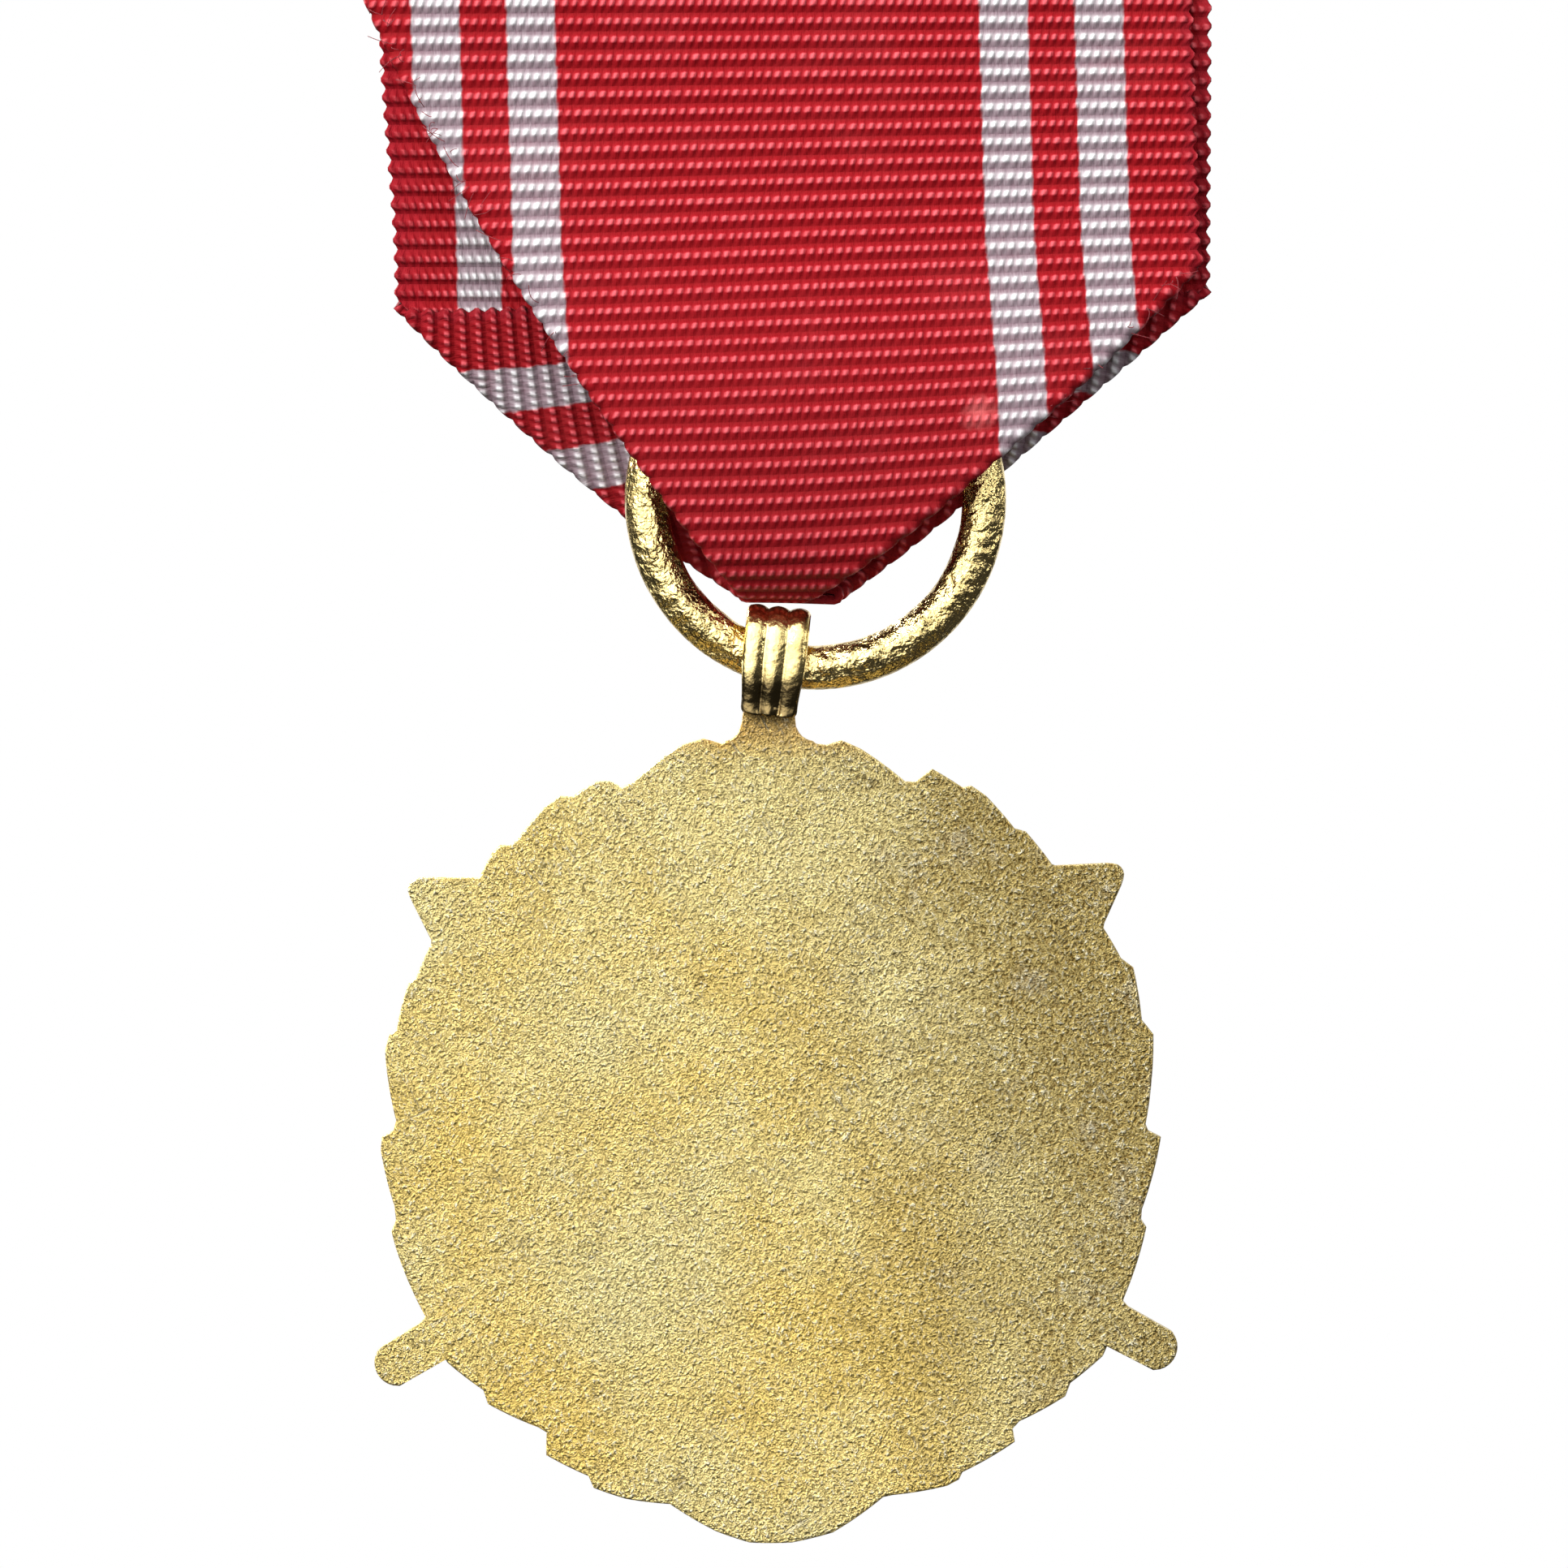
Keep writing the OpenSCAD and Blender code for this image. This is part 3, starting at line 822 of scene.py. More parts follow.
    def laid_out(self, u: np.ndarray, s: np.ndarray, shift: np.ndarray,
                 stretch: np.ndarray) -> tuple[np.ndarray, np.ndarray]:
        """The flat leaves before they are folded.

        The selvages scallop in by 0.1 cos of the place within the rib, the front leaf leans in at its lower
        left, and the rows bow and tilt a little towards the tip.

        Args:
            u: Places across the cloth, row by row.
            s: Each row's place along the cloth.
            shift: How far each row is moved across.
            stretch: How much each row is stretched.

        Returns:
            The places across and along the leaves.
        """
        half = self.width / 2
        loops = 0.10 * np.cos(TWO_PI * s / RIB)[:, None] * smooth(half - 0.9, half, np.abs(u))
        height = self.profile.height(s)[:, None]
        lean = 0.6 * smooth(-20, -31, height) * np.where(s < 0, 1, 0)[:, None] * np.clip(u / half, 0, 1) ** 3
        x = u * stretch[:, None] + shift[:, None] - loops * np.sign(u) - lean
        rows = np.broadcast_to(s[:, None], u.shape)
        bow = np.clip(1 - np.abs(rows) / 17, 0, 1) ** 1.5 * ((x - self.tip_x) / half) ** 2 * 2.2
        tilt = 0.035 * smooth(30, 14, np.abs(rows)) * smooth(0, 3, rows)
        return x, rows + bow * np.sign(rows) - tilt * (x - self.tip_x)

    def tucked(self, x: np.ndarray, run: np.ndarray, s: np.ndarray,
               folds: dict) -> tuple[np.ndarray, np.ndarray, np.ndarray, np.ndarray]:
        """Bends each leaf's corners in over its creases.

        Args:
            x: Places across the leaves.
            run: Places along the leaves.
            s: Each row's place along the cloth.
            folds: The creases of the back (True) and the front (False).

        Returns:
            The new places, the depth below the leaf, and which points are past the turned strips' ends.
        """
        depth, dropped = np.zeros_like(x), np.zeros(x.shape, bool)
        out_x, out_run = x.copy(), run.copy()
        for back, pair in folds.items():
            here = (s > 0) & (s < self.back_reach) if back else (s <= 0) & (s > -self.front_reach)
            for fold in pair:
                bent_x, bent_run, bent_depth, d = fold.bend(x[here], run[here])
                past = d > 0
                out_x[here] = np.where(past, bent_x, out_x[here])
                out_run[here] = np.where(past, bent_run, out_run[here])
                depth[here] = np.where(past, bent_depth, depth[here])
                dropped[here] |= d > fold.deepest
        return out_x, out_run, depth, dropped

    def set_of_leaf(self, s: np.ndarray) -> tuple[np.ndarray, np.ndarray]:
        """How far each row is shifted across, and how much it is stretched: the back leaf hangs askew."""
        askew = np.interp(self.profile.height(s), *np.array(self.askew).T)
        back = s > 0
        return np.where(back, askew, 0.0), np.where(back, 1 + 0.022 * smooth(0, 10, s), 1.0)

    def columns(self, s: np.ndarray, folds: dict, shift: np.ndarray, stretch: np.ndarray) -> np.ndarray:
        """Places across the cloth for each row, from one selvage to the other, crowded round the creases."""
        half = self.width / 2
        edges = []
        for side, outward in ((0, 1), (1, -1)):
            back = folds[True][side].crossing(np.maximum(s, 0))
            front = folds[False][side].crossing(np.minimum(s, 0))
            at = (np.where(s > 0, back, front) - shift) / stretch * outward
            at = np.where((s > self.back_reach - 2) | (s < 2 - self.front_reach), 60, at)
            edges.append((np.minimum(at - 0.15, half - 1.0), np.minimum(at + 1.15, half - 0.45)))
        (left_in, left_out), (right_in, right_out) = edges
        edge = np.full_like(s, half)
        return np.hstack([spread(-edge, -right_out, 8), spread(-right_out, -right_in, 8),
                          spread(-right_in, left_in, 26), spread(left_in, left_out, 8),
                          spread(left_out, edge, 9, closed=True)])

    def two_faces(self, x: np.ndarray, s: np.ndarray, depth: np.ndarray,
                  k: np.ndarray) -> tuple[np.ndarray, np.ndarray]:
        """Puts the leaf's points in space, and gives the cloth its two ribbed faces.

        The half thickness is groove + rise sqrt(1 - (2f - 1)^2), with f the place within the rib.
        """
        y, z = (np.interp(s, self.profile.s, self.profile.yz[:, i]) for i in (0, 1))
        ny, nz = (np.interp(s, self.profile.s, self.profile.inward[:, i]) for i in (0, 1))
        wave = 0.10 * lumps(x, s, 3, reach=0.35) * smooth(-6, -14, z)
        curl = smooth(0, 12, -z - 4) * 0.012 * np.maximum(np.abs(x) - 12, 0) ** 2
        into = depth + wave + curl
        mid = np.stack([x, y + ny * into, z + nz * into], -1)
        side = unit(np.cross(np.gradient(mid, axis=0), np.gradient(mid, axis=1)))
        f = (k % self.per_rib) / self.per_rib
        thick = self.groove + self.rise * np.sqrt(np.clip(1 - (2 * f - 1) ** 2, 0, 1))
        thick = thick[:, None, None] * np.ones((1, x.shape[1], 1))
        return mid + side * thick, mid - side * thick

    def dress(self, made: bpy.types.Object, cloth: bpy.types.Material) -> None:
        """Gives the ribbon its cloth and its body."""
        dress_piece(made, cloth, "ribbon", ("ribbon",))


# ---------------------------------------------------------------- medal


@dataclass
class Disc:
    """The medal: wreath outline, sword points and pommels, plain grained back, relief on the front."""

    around: int = 720
    plate: float = 1.6
    relief: float = 0.7
    tab_w: float = 2.4
    crossing: float = 1.4
    blade: float = 18.5
    hilt: float = 19.6
    guard_at: float = 11.4
    slants: tuple = (34.3, 31.9)
    pommel: float = 1.03
    core: float = 12.6
    radius: float = 17.45
    boss: float = 6.6
    button: float = 2.6
    rays: int = 12
    tab_x: float = -0.1
    tab_swell: float = 0.06
    fillet: float = 0.9
    # Corners of the leaves up one side, round the other and along the foot, as (angle, radius).
    leaves: tuple = (
        (2.5, 16.3), (9, 16.75), (15.5, 17.25), (18, 16.95), (25.5, 17.45), (27.5, 17.15),
        (31.5, 17.15), (44, 17.1), (50.5, 17.4), (52, 17.2), (58, 17.65), (60.5, 17.7), (61.5, 17.45),
        (66.5, 17.6), (68, 16.8), (69.5, 16.65), (77, 17.45), (80, 17.65), (82, 17.35), (97, 17.35),
        (99.5, 17.7), (103, 17.6), (111, 16.7), (113, 16.65), (114, 17.1), (116, 17.35), (120, 17.25),
        (121.5, 17.55), (124.5, 17.5), (130, 17.1), (131.5, 17.1), (132.5, 17.4), (134, 17.4),
        (138, 17.05), (150.5, 17.05), (155.5, 16.95), (156.5, 17.15), (159, 17.1), (163.5, 16.95),
        (164.5, 17.2), (167, 17.2), (177, 16.3), (178.5, 16.4), (179.5, 16.9), (181.5, 16.95),
        (190, 16.6), (192, 16.65), (193.5, 16.95), (196, 16.95), (207, 16.85), (214.5, 17.05),
        (221, 16.55), (223, 16.8), (231, 16.05), (232.5, 16.0), (234.5, 16.8), (241.5, 16.6),
        (243, 16.95), (248, 16.8), (254.5, 16.4), (262, 17.15), (267, 17.5), (273, 17.5), (279, 17.25),
        (287.5, 16.25), (289, 16.3), (297, 16.85), (299, 16.85), (300, 16.65), (309, 16.85),
        (310, 16.35), (311.5, 16.3), (319, 16.95), (321, 16.75), (327, 17.2), (336, 16.8), (347, 16.75),
        (348, 16.45), (349.5, 16.4), (360.5, 16.95), (361.5, 16.4), (362.5, 16.3))

    def __post_init__(self) -> None:
        """Reads the medal's place from the frame."""
        low, high = box_mm("medal_disc")
        self.x = (low[0] + high[0]) / 2
        self.z = low[2] + self.radius
        self.tab_top = high[2] - self.z
        self.back = high[1] - 0.3

    def outline(self, angle: np.ndarray) -> np.ndarray:
        """The edge's radius at each angle, in degrees seen from the back.

        The radius runs evenly with the angle from corner to corner. Sword points, pommels and the tab reach
        beyond that where they are further out.
        """
        at, r = np.array(self.leaves, float).T
        edge = np.interp(np.where(angle < at[0], angle + 360, angle), at, r)
        for side in (1, -1):
            edge = np.maximum(edge, self.sword_reach(angle, side))
        a = np.radians(angle)
        across = np.cos(a) - self.tab_x / 17.5 * np.sin(a)
        gap = np.abs(across * self.tab_top) - self.tab_w / 2
        tab = np.where(gap <= 0, self.tab_top / np.maximum(np.sin(a), 0.5), 0)
        rise = 1 - np.clip(gap / self.fillet, 0, 1)
        curve = self.radius + self.fillet * (1 - np.sqrt(np.clip(1 - rise**2, 0, 1)))
        near = (gap < self.fillet) & (np.sin(a) > 0)
        return np.where(near, np.maximum(edge, np.maximum(tab, curve)), edge)

    def sword_reach(self, angle: np.ndarray, side: int) -> np.ndarray:
        """How far one sword reaches at each angle: a ray's furthest crossing with its outline and pommel."""
        turn = math.radians(self.slants[side < 0])
        b, h = self.blade, self.hilt
        upper = [(-h, 0.8), (-16, 0.95), (-16, 1.9), (b - 2.6, 1.9), (b - 0.4, 0.55), (b - 0.1, 0.3), (b, 0)]
        own = np.array(upper + [(x, -y) for x, y in upper[-2::-1]])
        spin = np.array([[math.cos(turn), math.sin(turn)], [-math.sin(turn), math.cos(turn)]])
        p = own @ spin * (side, 1) + (0, self.crossing)
        q = np.roll(p, -1, 0) - p
        a = np.radians(angle)[:, None]
        ray = np.stack([np.cos(a), np.sin(a)], -1)
        across = ray[..., 0] * q[:, 1] - ray[..., 1] * q[:, 0]
        across = np.where(np.abs(across) < 1e-9, 1e-9, across)
        far = (p[:, 0] * q[:, 1] - p[:, 1] * q[:, 0]) / across
        at = (p[:, 0] * ray[..., 1] - p[:, 1] * ray[..., 0]) / across
        reach = np.where((at >= 0) & (at <= 1) & (far > 0), far, 0).max(1)
        ball = np.array([-h * math.cos(turn) * side, -h * math.sin(turn) + self.crossing])
        middle = ray[:, 0] @ ball
        inside = self.pommel**2 - (ball @ ball - middle**2)
        far_side = middle + np.sqrt(np.maximum(inside, 0))
        return np.maximum(reach, np.where((inside > 0) & (middle > 0), far_side, 0))

    def wreath(self, x: np.ndarray, z: np.ndarray) -> np.ndarray:
        """Two branches of leaves: each is a dome sqrt(1 - (a/2)^2 - (b/0.8)^2) with a groove along its rib."""
        height = 0.18 * smooth(12.0, 12.6, np.hypot(x, z))
        for row, (leaves, at_r, lean) in enumerate(((15, 15.9, 0.62), (15, 13.9, -0.62), (14, 14.9, 0.0))):
            places = np.radians(-84 + (np.arange(leaves) + 0.5 * (row == 2)) * 160 / leaves)
            for side, a in ((side, a) for side in (1, -1) for a in places):
                cx, cz = at_r * math.cos(a) * side, at_r * math.sin(a)
                heading = a + math.pi / 2 - lean
                ux, uz = math.cos(heading) * side, math.sin(heading)
                along, over = (x - cx) * ux + (z - cz) * uz, -(x - cx) * uz + (z - cz) * ux
                taper = np.clip(1 - along / 4.2, 0.35, 1.4)
                dome = np.sqrt(np.clip(1 - (along / 2.0) ** 2 - (over / (0.8 * taper)) ** 2, 0, 1))
                leaf = dome * 0.5 - 0.12 * np.exp(-(over / 0.12) ** 2) * (dome > 0.2)
                height = np.maximum(height, leaf + 0.12 * (row == 2))
        return height

    def swords(self, x: np.ndarray, z: np.ndarray) -> np.ndarray:
        """Two crossed swords: ridged blades, ribbed round grips and straight guards."""
        height = np.zeros_like(x)
        for side in (1, -1):
            turn = math.radians(self.slants[side < 0])
            c, s, up = math.cos(turn), math.sin(turn), z - self.crossing
            along, over = (x * side) * c + up * s, -(x * side) * s + up * c
            off = np.abs(over)
            blade = (0.68 - 0.3 * off) * (off < 0.9) * (along > -11) * (along < self.blade)
            grip = (0.62 - 0.35 * over**2 + 0.06 * np.cos(along * 6)) * (off < 0.8) * (along <= -11.8)
            guard = 0.66 * (np.abs(along + self.guard_at) < 0.5) * (off < 2.3)
            height = np.maximum.reduce([height, blade, grip, guard])
        return height

    def front_height(self, x: np.ndarray, z: np.ndarray) -> np.ndarray:
        """The front's relief over the plate: wreath, swords, and a domed boss with rays |cos(rays angle)|."""
        r, angle = np.hypot(x, z), np.arctan2(z, x)
        height = np.maximum(self.wreath(x, z), self.swords(x, z))
        rays = 0.45 + 0.2 * np.abs(np.cos(self.rays * angle)) * smooth(2.4, 3.4, r)
        boss = rays * smooth(self.boss, self.boss - 0.4, r)
        button = np.sqrt(np.clip(1 - (r / self.button) ** 2, 0, 1)) * self.relief
        middle = np.maximum.reduce([height * (r > self.boss - 0.3), boss, button])
        return np.minimum(np.where(r < self.boss, middle, height), self.relief)

    def ring_at(self, edge: np.ndarray, t: float, inset: float) -> np.ndarray:
        """The radii a part t of the way from the core circle to the edge, less an inset."""
        return self.core + (edge - inset - self.core) * t

    def build(self) -> bpy.types.Object:
        """The medal's mesh: rings of points from the back's middle, over the edge, to the front's middle.

        A point is (R cos a, R sin a). On the back, R grows as a square root to the core circle and then runs
        evenly to the outline; on the front it runs evenly in both. The edge is worn round at the back.
        """
        degrees = np.arange(self.around) * 360 / self.around
        edge, a = self.outline(degrees), np.radians(degrees)
        back = [np.full_like(edge, r) for r in self.core * np.sqrt(np.linspace(0.004, 1, 26))]
        back += [self.ring_at(edge, t, 0.34) for t in np.linspace(0, 1, 13)[1:]]
        depth = [np.zeros_like(edge)] * len(back)
        for inset, down in ((0.20, 0.01), (0.09, 0.05), (0.02, 0.13), (0.0, 0.30)):
            back.append(edge - inset)
            depth.append(np.full_like(edge, down))
        sides = [(edge, 0.8), (edge, 1.2), (edge - 0.04, 1.45)]
        top = [edge - 0.14] + [self.ring_at(edge, t, 0.14) for t in np.linspace(1, 0, 27)[1:]]
        top += [np.full_like(edge, r) for r in (self.core * np.linspace(0.004, 1, 56))[::-1][1:]]
        r = np.array(back + [radii for radii, _ in sides] + top)
        n_back, front = len(back), len(back) + len(sides)
        x, z = r * np.cos(a), r * np.sin(a)
        y = np.empty_like(r)
        y[:n_back] = self.back_face(x[:n_back], z[:n_back], np.array(depth))
        y[n_back:front] = [[self.back - down] for _, down in sides]
        tab = self.on_tab(x, z)[front:]
        near_edge = np.clip((edge - r[front:]) / 0.5, 0, 1) ** 0.5
        relief = self.front_height(-x[front:], z[front:]) * (1 - tab) * near_edge
        y[front:] = self.back - self.plate - relief - self.tab_swell * tab
        points = np.stack([self.x - x, y, self.z + z], -1)
        centres = np.array([[self.x, y[0].mean(), self.z], [self.x, y[-1].mean(), self.z]])
        rows, cols = r.shape
        faces = grid_faces(rows, cols, wrap_cols=True).tolist()
        j = np.arange(cols)
        after, last = (j + 1) % cols, (rows - 1) * cols
        faces += np.stack([j, after, np.full(cols, rows * cols)], -1).tolist()
        faces += np.stack([after + last, j + last, np.full(cols, rows * cols + 1)], -1).tolist()
        return make_piece("medal", np.concatenate([points.reshape(-1, 3), centres]), faces)

    def on_tab(self, x: np.ndarray, z: np.ndarray) -> np.ndarray:
        """1 on the tab, falling to 0 where it meets the wreath."""
        return smooth(16.9, 17.9, z) * smooth(2.6, 1.8, np.abs(x - self.tab_x))

    def back_face(self, x: np.ndarray, z: np.ndarray, down: np.ndarray) -> np.ndarray:
        """The plain back: plate level, slow unevenness, and a tab that stands a trace higher."""
        uneven = 0.035 * lumps(x, z, 11, waves=9, reach=0.55) + 0.012 * lumps(x, z, 12, waves=9, reach=2.2)
        return (self.back + uneven * smooth(18, 14, np.hypot(x, z)) - down
                + self.tab_swell * self.on_tab(x, z))

    def dress(self, made: bpy.types.Object, gilt: bpy.types.Material) -> None:
        """Gives the medal its gilding and its body."""
        dress_piece(made, gilt, "medal", ("medal_disc",))


@dataclass
class Loop:
    """The fluted strip folded over the ring, whose legs hold the medal's tab."""

    half_wide: float = 1.39
    strip: float = 0.35
    inner_leg: float = 0.85
    leg_end: float = -2.4
    corner: float = 0.32
    lean: float = math.radians(6)

    def __post_init__(self) -> None:
        """Reads the ring's axis and the loop's size from the frame."""
        low, high = box_mm("bail")
        joint = next(j for j in frame["joints"] if j["name"] == "medal_swing")
        self.axis = np.array(joint["pos_m"]) / MM
        outer = (high[1] - low[1]) / 2
        self.radius = outer - self.strip / 2
        self.centre = high[2] - self.axis[2] - outer

    def route(self) -> np.ndarray:
        """The strip's middle seen edge on, as (y, z): up one leg, a half circle, and down the other."""
        leg, radius = self.inner_leg + self.strip / 2, self.radius
        right = [(leg, self.leg_end), (leg, -2.15), (leg + 0.01, -1.9), (leg + 0.10, -1.6),
                 (radius - 0.14, -1.1), (radius - 0.02, -0.5), (radius, 0.0)]
        a = np.linspace(0, math.pi, 25)
        arc = np.stack([radius * np.cos(a), self.centre + radius * np.sin(a)], -1)
        left = [(-y, z) for y, z in reversed(right)]
        return spline(np.concatenate([right, arc, left]), 110)

    def build(self) -> bpy.types.Object:
        """The loop's mesh: a strip carried along legs and a round top, with two grooves along it.

        At q from -1 to 1 across the strip its outer face stands out by 0.15 (|cos 1.5 pi q|^0.8 - 0.62), and
        its inner face by about a third of that. The strip narrows to the legs' ends with rounded corners.
        """
        path = self.route()
        length = lengths(path)
        ahead = unit(np.gradient(path, axis=0))
        normal = np.stack([ahead[:, 1], -ahead[:, 0]], -1)
        q = np.linspace(-1, 1, 43)
        to_end = np.minimum(length, length[-1] - length)
        half = self.half_wide - 0.16 * smooth(2.6, 0.4, to_end) - self.corner
        cut = np.clip(self.corner - to_end, 0, self.corner)
        half = half + np.sqrt(np.clip(self.corner**2 - cut**2, 0, None))
        flute = 0.15 * (np.abs(np.cos(1.5 * math.pi * q)) ** 0.8 - 0.62)
        soft = 0.10 * np.clip((np.abs(q) - 0.9) / 0.1, 0, 1) ** 2
        swell = 1 + 0.25 * lumps(length[:, None] * np.ones_like(q), q[None, :] * 4, 8, reach=0.8)
        outwards = self.strip / 2 + flute[None, :] * swell - soft
        inwards = self.strip / 2 + 0.35 * flute[None, :] * np.ones_like(outwards) - soft - 0.03
        across = half[:, None] * q[None, :]
        outer, inner = (np.stack([across, path[:, 0:1] + normal[:, 0:1] * offset,
                                  path[:, 1:2] + normal[:, 1:2] * offset], -1)
                        for offset in (outwards, -inwards))
        points, faces, _ = slab(outer, inner, np.ones((len(path) - 1, len(q) - 1), bool))
        c, s = math.cos(self.lean), math.sin(self.lean)
        turned = np.stack([points[:, 0] * c - points[:, 2] * s, points[:, 1],
                           points[:, 0] * s + points[:, 2] * c], -1)
        return make_piece("loop", turned + self.axis, faces)

    def dress(self, made: bpy.types.Object, gilt: bpy.types.Material) -> None:
        """Gives the loop its gilding and its body."""
        dress_piece(made, gilt, "medal", ("bail",))


@dataclass
class Ring:
    """The jump ring: a worn cast wire with a parting line round its outside."""

    turns: int = 260
    sides: int = 44
    bare: float = 0.93  # the wire's radius as a part of the frame's, and what the band adds
    raised: float = 0.07
    lumpy: float = 0.022
    dented: float = 0.014

    def build(self) -> bpy.types.Object:
        """The ring's mesh: the frame's ring, uneven by sines, with a narrow raised band round its outside.

        The wire's radius is a part of the frame's, full within 28 degrees of its outermost line, plus small
        lumps away from that band.
        """
        low, high = box_mm("ring")
        wire = (high[1] - low[1]) / 2
        middle, big = (low + high) / 2, (high[0] - low[0]) / 2 - wire
        a = np.linspace(0, TWO_PI, self.turns, endpoint=False)[:, None]
        b = np.linspace(0, TWO_PI, self.sides, endpoint=False)[None, :]
        off = np.abs(np.angle(np.exp(1j * b)))
        band = smooth(math.radians(34), math.radians(28), off)
        wander = lumps(np.cos(a) * 9 + 0 * b, np.sin(a) * 9 + b * 1.2, 21, waves=11, reach=0.9)
        small = lumps(np.cos(a) * 9 + np.sin(b) * 2, np.sin(a) * 9 + np.cos(b) * 2, 22, waves=11, reach=2.6)
        uneven = (self.lumpy * wander + self.dented * small) * (1 - band)
        r = wire * (self.bare + self.raised * band) + uneven
        around = big + r * np.cos(b)
        points = np.stack([middle[0] + around * np.cos(a), middle[1] + r * np.sin(b),
                           middle[2] + around * np.sin(a)], -1)
        return make_piece("jump_ring", points, grid_faces(self.turns, self.sides, True, True))

    def dress(self, made: bpy.types.Object, gilt: bpy.types.Material) -> None:
        """Gives the ring its gilding and its body."""
        dress_piece(made, gilt, "ring", ("ring",))


# ---------------------------------------------------------------- sewing and brooch


@dataclass
class Sewing:
    """The seam through the ribbon's top and the stitches that hold the brooch plate."""

    thread: float = 0.16
    pitch: float = 2.5
    count: int = 13
    length: float = 1.7
    hole_z: float = 1.2

    def strand(self, path: np.ndarray, up: tuple) -> tuple[np.ndarray, list]:
        """One thread of two plies twisted together along a path."""
        return tube(path, self.thread, 10, up=up, twist=7, lobes=0.2)

    def build(self) -> list[bpy.types.Object]:
        """The two pieces of sewing."""
        return [make_piece("seam_stitches", *joined(self.seam())),
                make_piece("brooch_stitches", *joined(self.plate_loops()))]

    def seam(self) -> list[tuple[np.ndarray, list]]:
        """The seam's stitches: arches y = 0.20 (1 - q^4) - 0.12 along X that dip into the cloth."""
        low, high = box_mm("ribbon_seam")
        q = np.linspace(-1, 1, 13)
        z = (low[2] + high[2]) / 2
        stitches = []
        for i in range(self.count):
            x = (i - (self.count - 1) / 2) * self.pitch
            for y, out in ((high[1] - 0.15, 1), (low[1] + 0.15, -1)):
                lift = 0.20 * (1 - q**4) - 0.12
                path = np.stack([x + q * self.length / 2, y + out * lift, z + 0.05 * np.sin(q * 2 + i)], -1)
                stitches.append(self.strand(path, (0, 0, 1)))
        return stitches

    def plate_loops(self) -> list[tuple[np.ndarray, list]]:
        """The plate's stitches: two rounded loops from each hole over the plate's edge."""
        plate_low, plate_high = box_mm("brooch_plate")
        box_high = box_mm("plate_stitches")[1]
        out_y, in_y = plate_high[1] + 0.12, plate_low[1] - 0.05
        edge_z, hole_z = box_high[2] - 0.12, self.hole_z
        loops = []
        for end in (-1, 1):
            for side in (-1, 1):
                for shift in (-0.13, 0.13):
                    x = end * (box_high[0] - 0.15) + shift
                    corners = [(x, in_y, hole_z), (x, plate_high[1] - 0.1, hole_z), (x, out_y, hole_z + 0.35),
                               (x, out_y, edge_z - 0.3), (x, plate_high[1] - 0.15, edge_z), (x, in_y, edge_z)]
                    loops.append(self.strand(spline(np.array(corners) * (1, 1, side), 26), (1, 0, 0)))
        return loops

    def dress(self, made: list[bpy.types.Object], thread: bpy.types.Material) -> None:
        """Gives the stitches their thread and their body."""
        for piece, node in zip(made, ("ribbon_seam", "plate_stitches")):
            dress_piece(piece, thread, "ribbon", (node,))


@dataclass
class Fibres:
    """Loose fibres along the ribbon's worn creases and selvages."""

    count: int = 70
    thick: float = 0.018
    places: int = 160  # places along each crease, and the first on each side and the last that bear fibres
    first_left: int = 27
    first_right: int = 50
    last: int = 97

    def build(self) -> bpy.types.Object:
        """Short curled hairs on a line of places down the creases.

        Each path is start + t * heading + t^2 * curl, with t from 0 to 1.
        """
        rng = np.random.default_rng(5)
        parts = []
        tip = box_mm("ribbon")[0][2]
        left = bezier((2.7, tip + 0.5), (15.7, tip + 18.1), (19.6, tip + 29.4), self.places)
        right = bezier((-1.2, tip + 0.5), (-9.3, tip + 6.3), (-17.4, tip + 14.9), self.places)
        y = box_mm("brooch_plate")[0][1] - 0.2
        for i in range(self.count):
            line, out, first = (left, 1, self.first_left) if i % 3 else (right, -1, self.first_right)
            spot = line[int(rng.integers(first, self.last))]
            t = np.linspace(0, 1, 7)[:, None]
            heading = np.array([out * rng.uniform(0.1, 0.9), rng.uniform(-0.1, 0.5), rng.uniform(-0.5, 0.4)])
            curl = rng.uniform(-0.7, 0.7, 3)
            start = np.array([spot[0] - out * 0.2, y - 0.35 + rng.uniform(0, 0.3), spot[1]])
            parts.append(tube(start + t * heading + t**2 * curl, self.thick, 4, up=(0.3, 0.8, 0.52)))
        return make_piece("loose_fibres", *joined(parts))

    def dress(self, made: bpy.types.Object, thread: bpy.types.Material) -> None:
        """Gives the fibres their thread and their body."""
        dress_piece(made, thread, "ribbon")


@dataclass
class Brooch:
    """The pin fitting: CAD nodes with a nickel finish."""

    nodes: tuple = ("brooch_plate", "pin_joint", "joint_rivet", "pin_needle", "catch_housing", "catch_lock")

    def dress(self, nickel: bpy.types.Material) -> None:
        """Gives each node the nickel."""
        for name in self.nodes:
            piece = frame["nodes"][name]
            piece.data.materials.clear()
            piece.data.materials.append(nickel)


# ---------------------------------------------------------------- studio


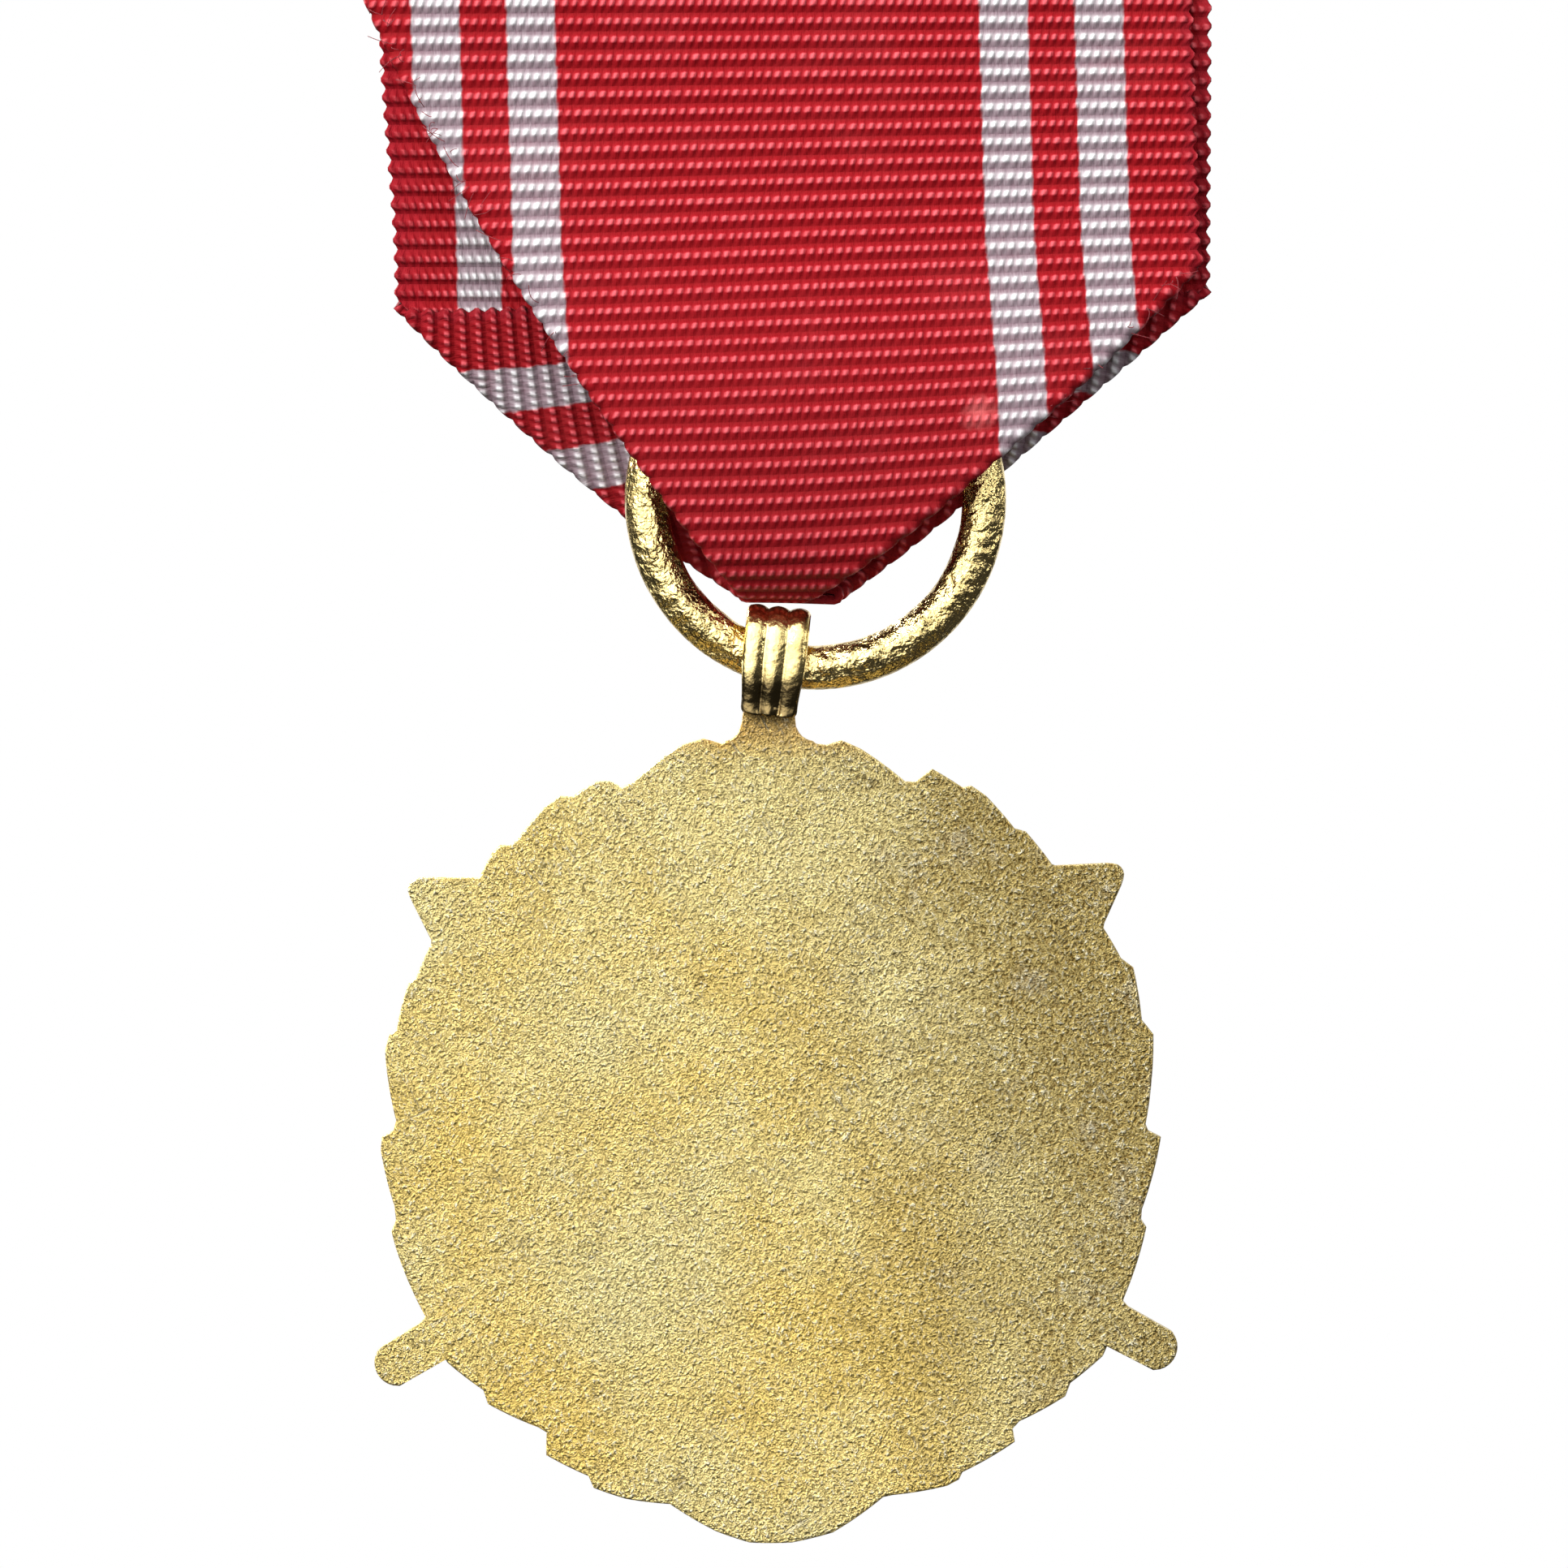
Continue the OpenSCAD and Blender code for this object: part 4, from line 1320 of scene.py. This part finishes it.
@dataclass
class Studio:
    """Camera, lights, pale floor and white surroundings."""

    lens: float = 200.0
    sensor: float = 36.0
    seen: float = 68.2
    middle: tuple = (0.49, -4.06, -52.80)
    gloom: float = 0.05
    floor_side: float = 3000.0
    floor_z: float = -760.0
    aim: tuple = (0.0005, -0.004, -0.05)
    # Bright parts of the surroundings: heading, where each begins and is full, and its strength.
    glow: tuple = (((0.38, 0.76, 0.53), 0.34, 0.94, 3.0), ((0.0, -0.92, 0.4), 0.40, 0.95, 1.5),
                   ((0.1, 0.2, 0.97), 0.5, 0.95, 0.35))
    # The lights: name, place in metres, size, power and colour.
    lights: tuple = (("key", (0.40, 0.42, 0.36), 0.16, 3.4, (1.0, 0.985, 0.96)),
                     ("softbox", (0.27, 0.52, 0.0), 0.40, 0.30, (1.0, 1.0, 1.0)),
                     ("side", (-0.50, 0.20, 0.10), 0.30, 0.7, (0.97, 0.98, 1.0)),
                     ("behind", (0.34, -0.50, 0.30), 0.20, 3.6, (1.0, 0.99, 0.97)))

    def build(self) -> None:
        """Makes the camera, the floor, the world and the lights."""
        data = bpy.data.cameras.new("camera")
        data.lens, data.sensor_width = self.lens, self.sensor
        camera = bpy.data.objects.new("camera", data)
        bpy.context.scene.collection.objects.link(camera)
        away = self.seen / self.sensor * self.lens
        x, y, z = self.middle
        camera.location = (x * MM, (y + away) * MM, z * MM)
        camera.rotation_euler = (math.pi / 2, 0, math.pi)
        data.clip_start, data.clip_end = 0.01, 50
        bpy.context.scene.camera = camera
        self.floor()
        self.world()
        for settings in self.lights:
            self.light(*settings)
        bpy.context.scene.view_settings.view_transform = "Standard"

    def floor(self) -> None:
        """A plain pale floor well below the medal."""
        kit = Shader("pale_floor")
        shade = kit.noise(kit.place(), 0.02, 3.0)
        tone = kit.mix(shade, (0.92, 0.92, 0.92), (0.95, 0.95, 0.94))
        pale = kit.surface({"Roughness": 0.9, "Emission Color": (1, 1, 1, 1), "Emission Strength": 0.35},
                           {"Base Color": tone})
        side = self.floor_side
        corners = np.array([(x, y, self.floor_z) for x, y in ((-side, -side), (side, -side), (side, side),
                                                              (-side, side))])
        made = make_piece("floor", corners, [[0, 1, 2, 3]], fix_normals=False)
        made.data.materials.append(pale)
        made.visible_glossy = made.visible_diffuse = False

    def world(self) -> None:
        """White to the camera; to the object, bright in front and behind, dim at the sides and below."""
        world = bpy.data.worlds.new("studio")
        bpy.context.scene.world = world
        kit = Shader("studio", world)
        where = kit.value("ShaderNodeTexCoord", out="Generated")
        strength = self.gloom
        for heading, low, high, bright in self.glow:
            facing = kit.value("ShaderNodeVectorMath", {"operation": "DOT_PRODUCT"}, {0: where, 1: heading},
                               out="Value")
            strength = strength + facing.step(low, high) * bright
        dim = kit.value("ShaderNodeBackground", inputs={"Strength": strength})
        white = kit.value("ShaderNodeBackground", inputs={"Color": (1, 1, 1, 1)})
        seen = kit.value("ShaderNodeLightPath", out="Is Camera Ray")
        both = kit.value("ShaderNodeMixShader", inputs={0: seen, 1: dim, 2: white})
        kit.node("ShaderNodeOutputWorld", inputs={"Surface": both})

    def light(self, name: str, at: tuple, size: float, power: float, colour: tuple) -> None:
        """A soft square light that faces the medal."""
        data = bpy.data.lights.new(name, "AREA")
        data.size, data.energy, data.color = size, power, colour
        made = bpy.data.objects.new(name, data)
        bpy.context.scene.collection.objects.link(made)
        made.location = at
        aim = Vector(self.aim) - Vector(at)
        made.rotation_euler = aim.to_track_quat("-Z", "Y").to_euler()


def main() -> None:
    """Builds the object, sub-assembly by sub-assembly, and the studio."""
    logging.basicConfig(level=logging.INFO, format="%(name)s: %(message)s")
    Studio().build()
    bright, thread = BrightGilt().make(), SewingThread().make()
    polished = BrightGilt("polished_gilt", rough=0.3, worn=0.3, shade_below_z=-48.3).make()
    for assembly, finish in ((Ribbon(), RibbonCloth().make()), (Disc(), CastGilt().make()),
                             (Loop(), polished), (Ring(), bright), (Sewing(), thread), (Fibres(), thread)):
        assembly.dress(assembly.build(), finish)
    Brooch().dress(Nickel().make())


if __name__ == "__main__":
    main()
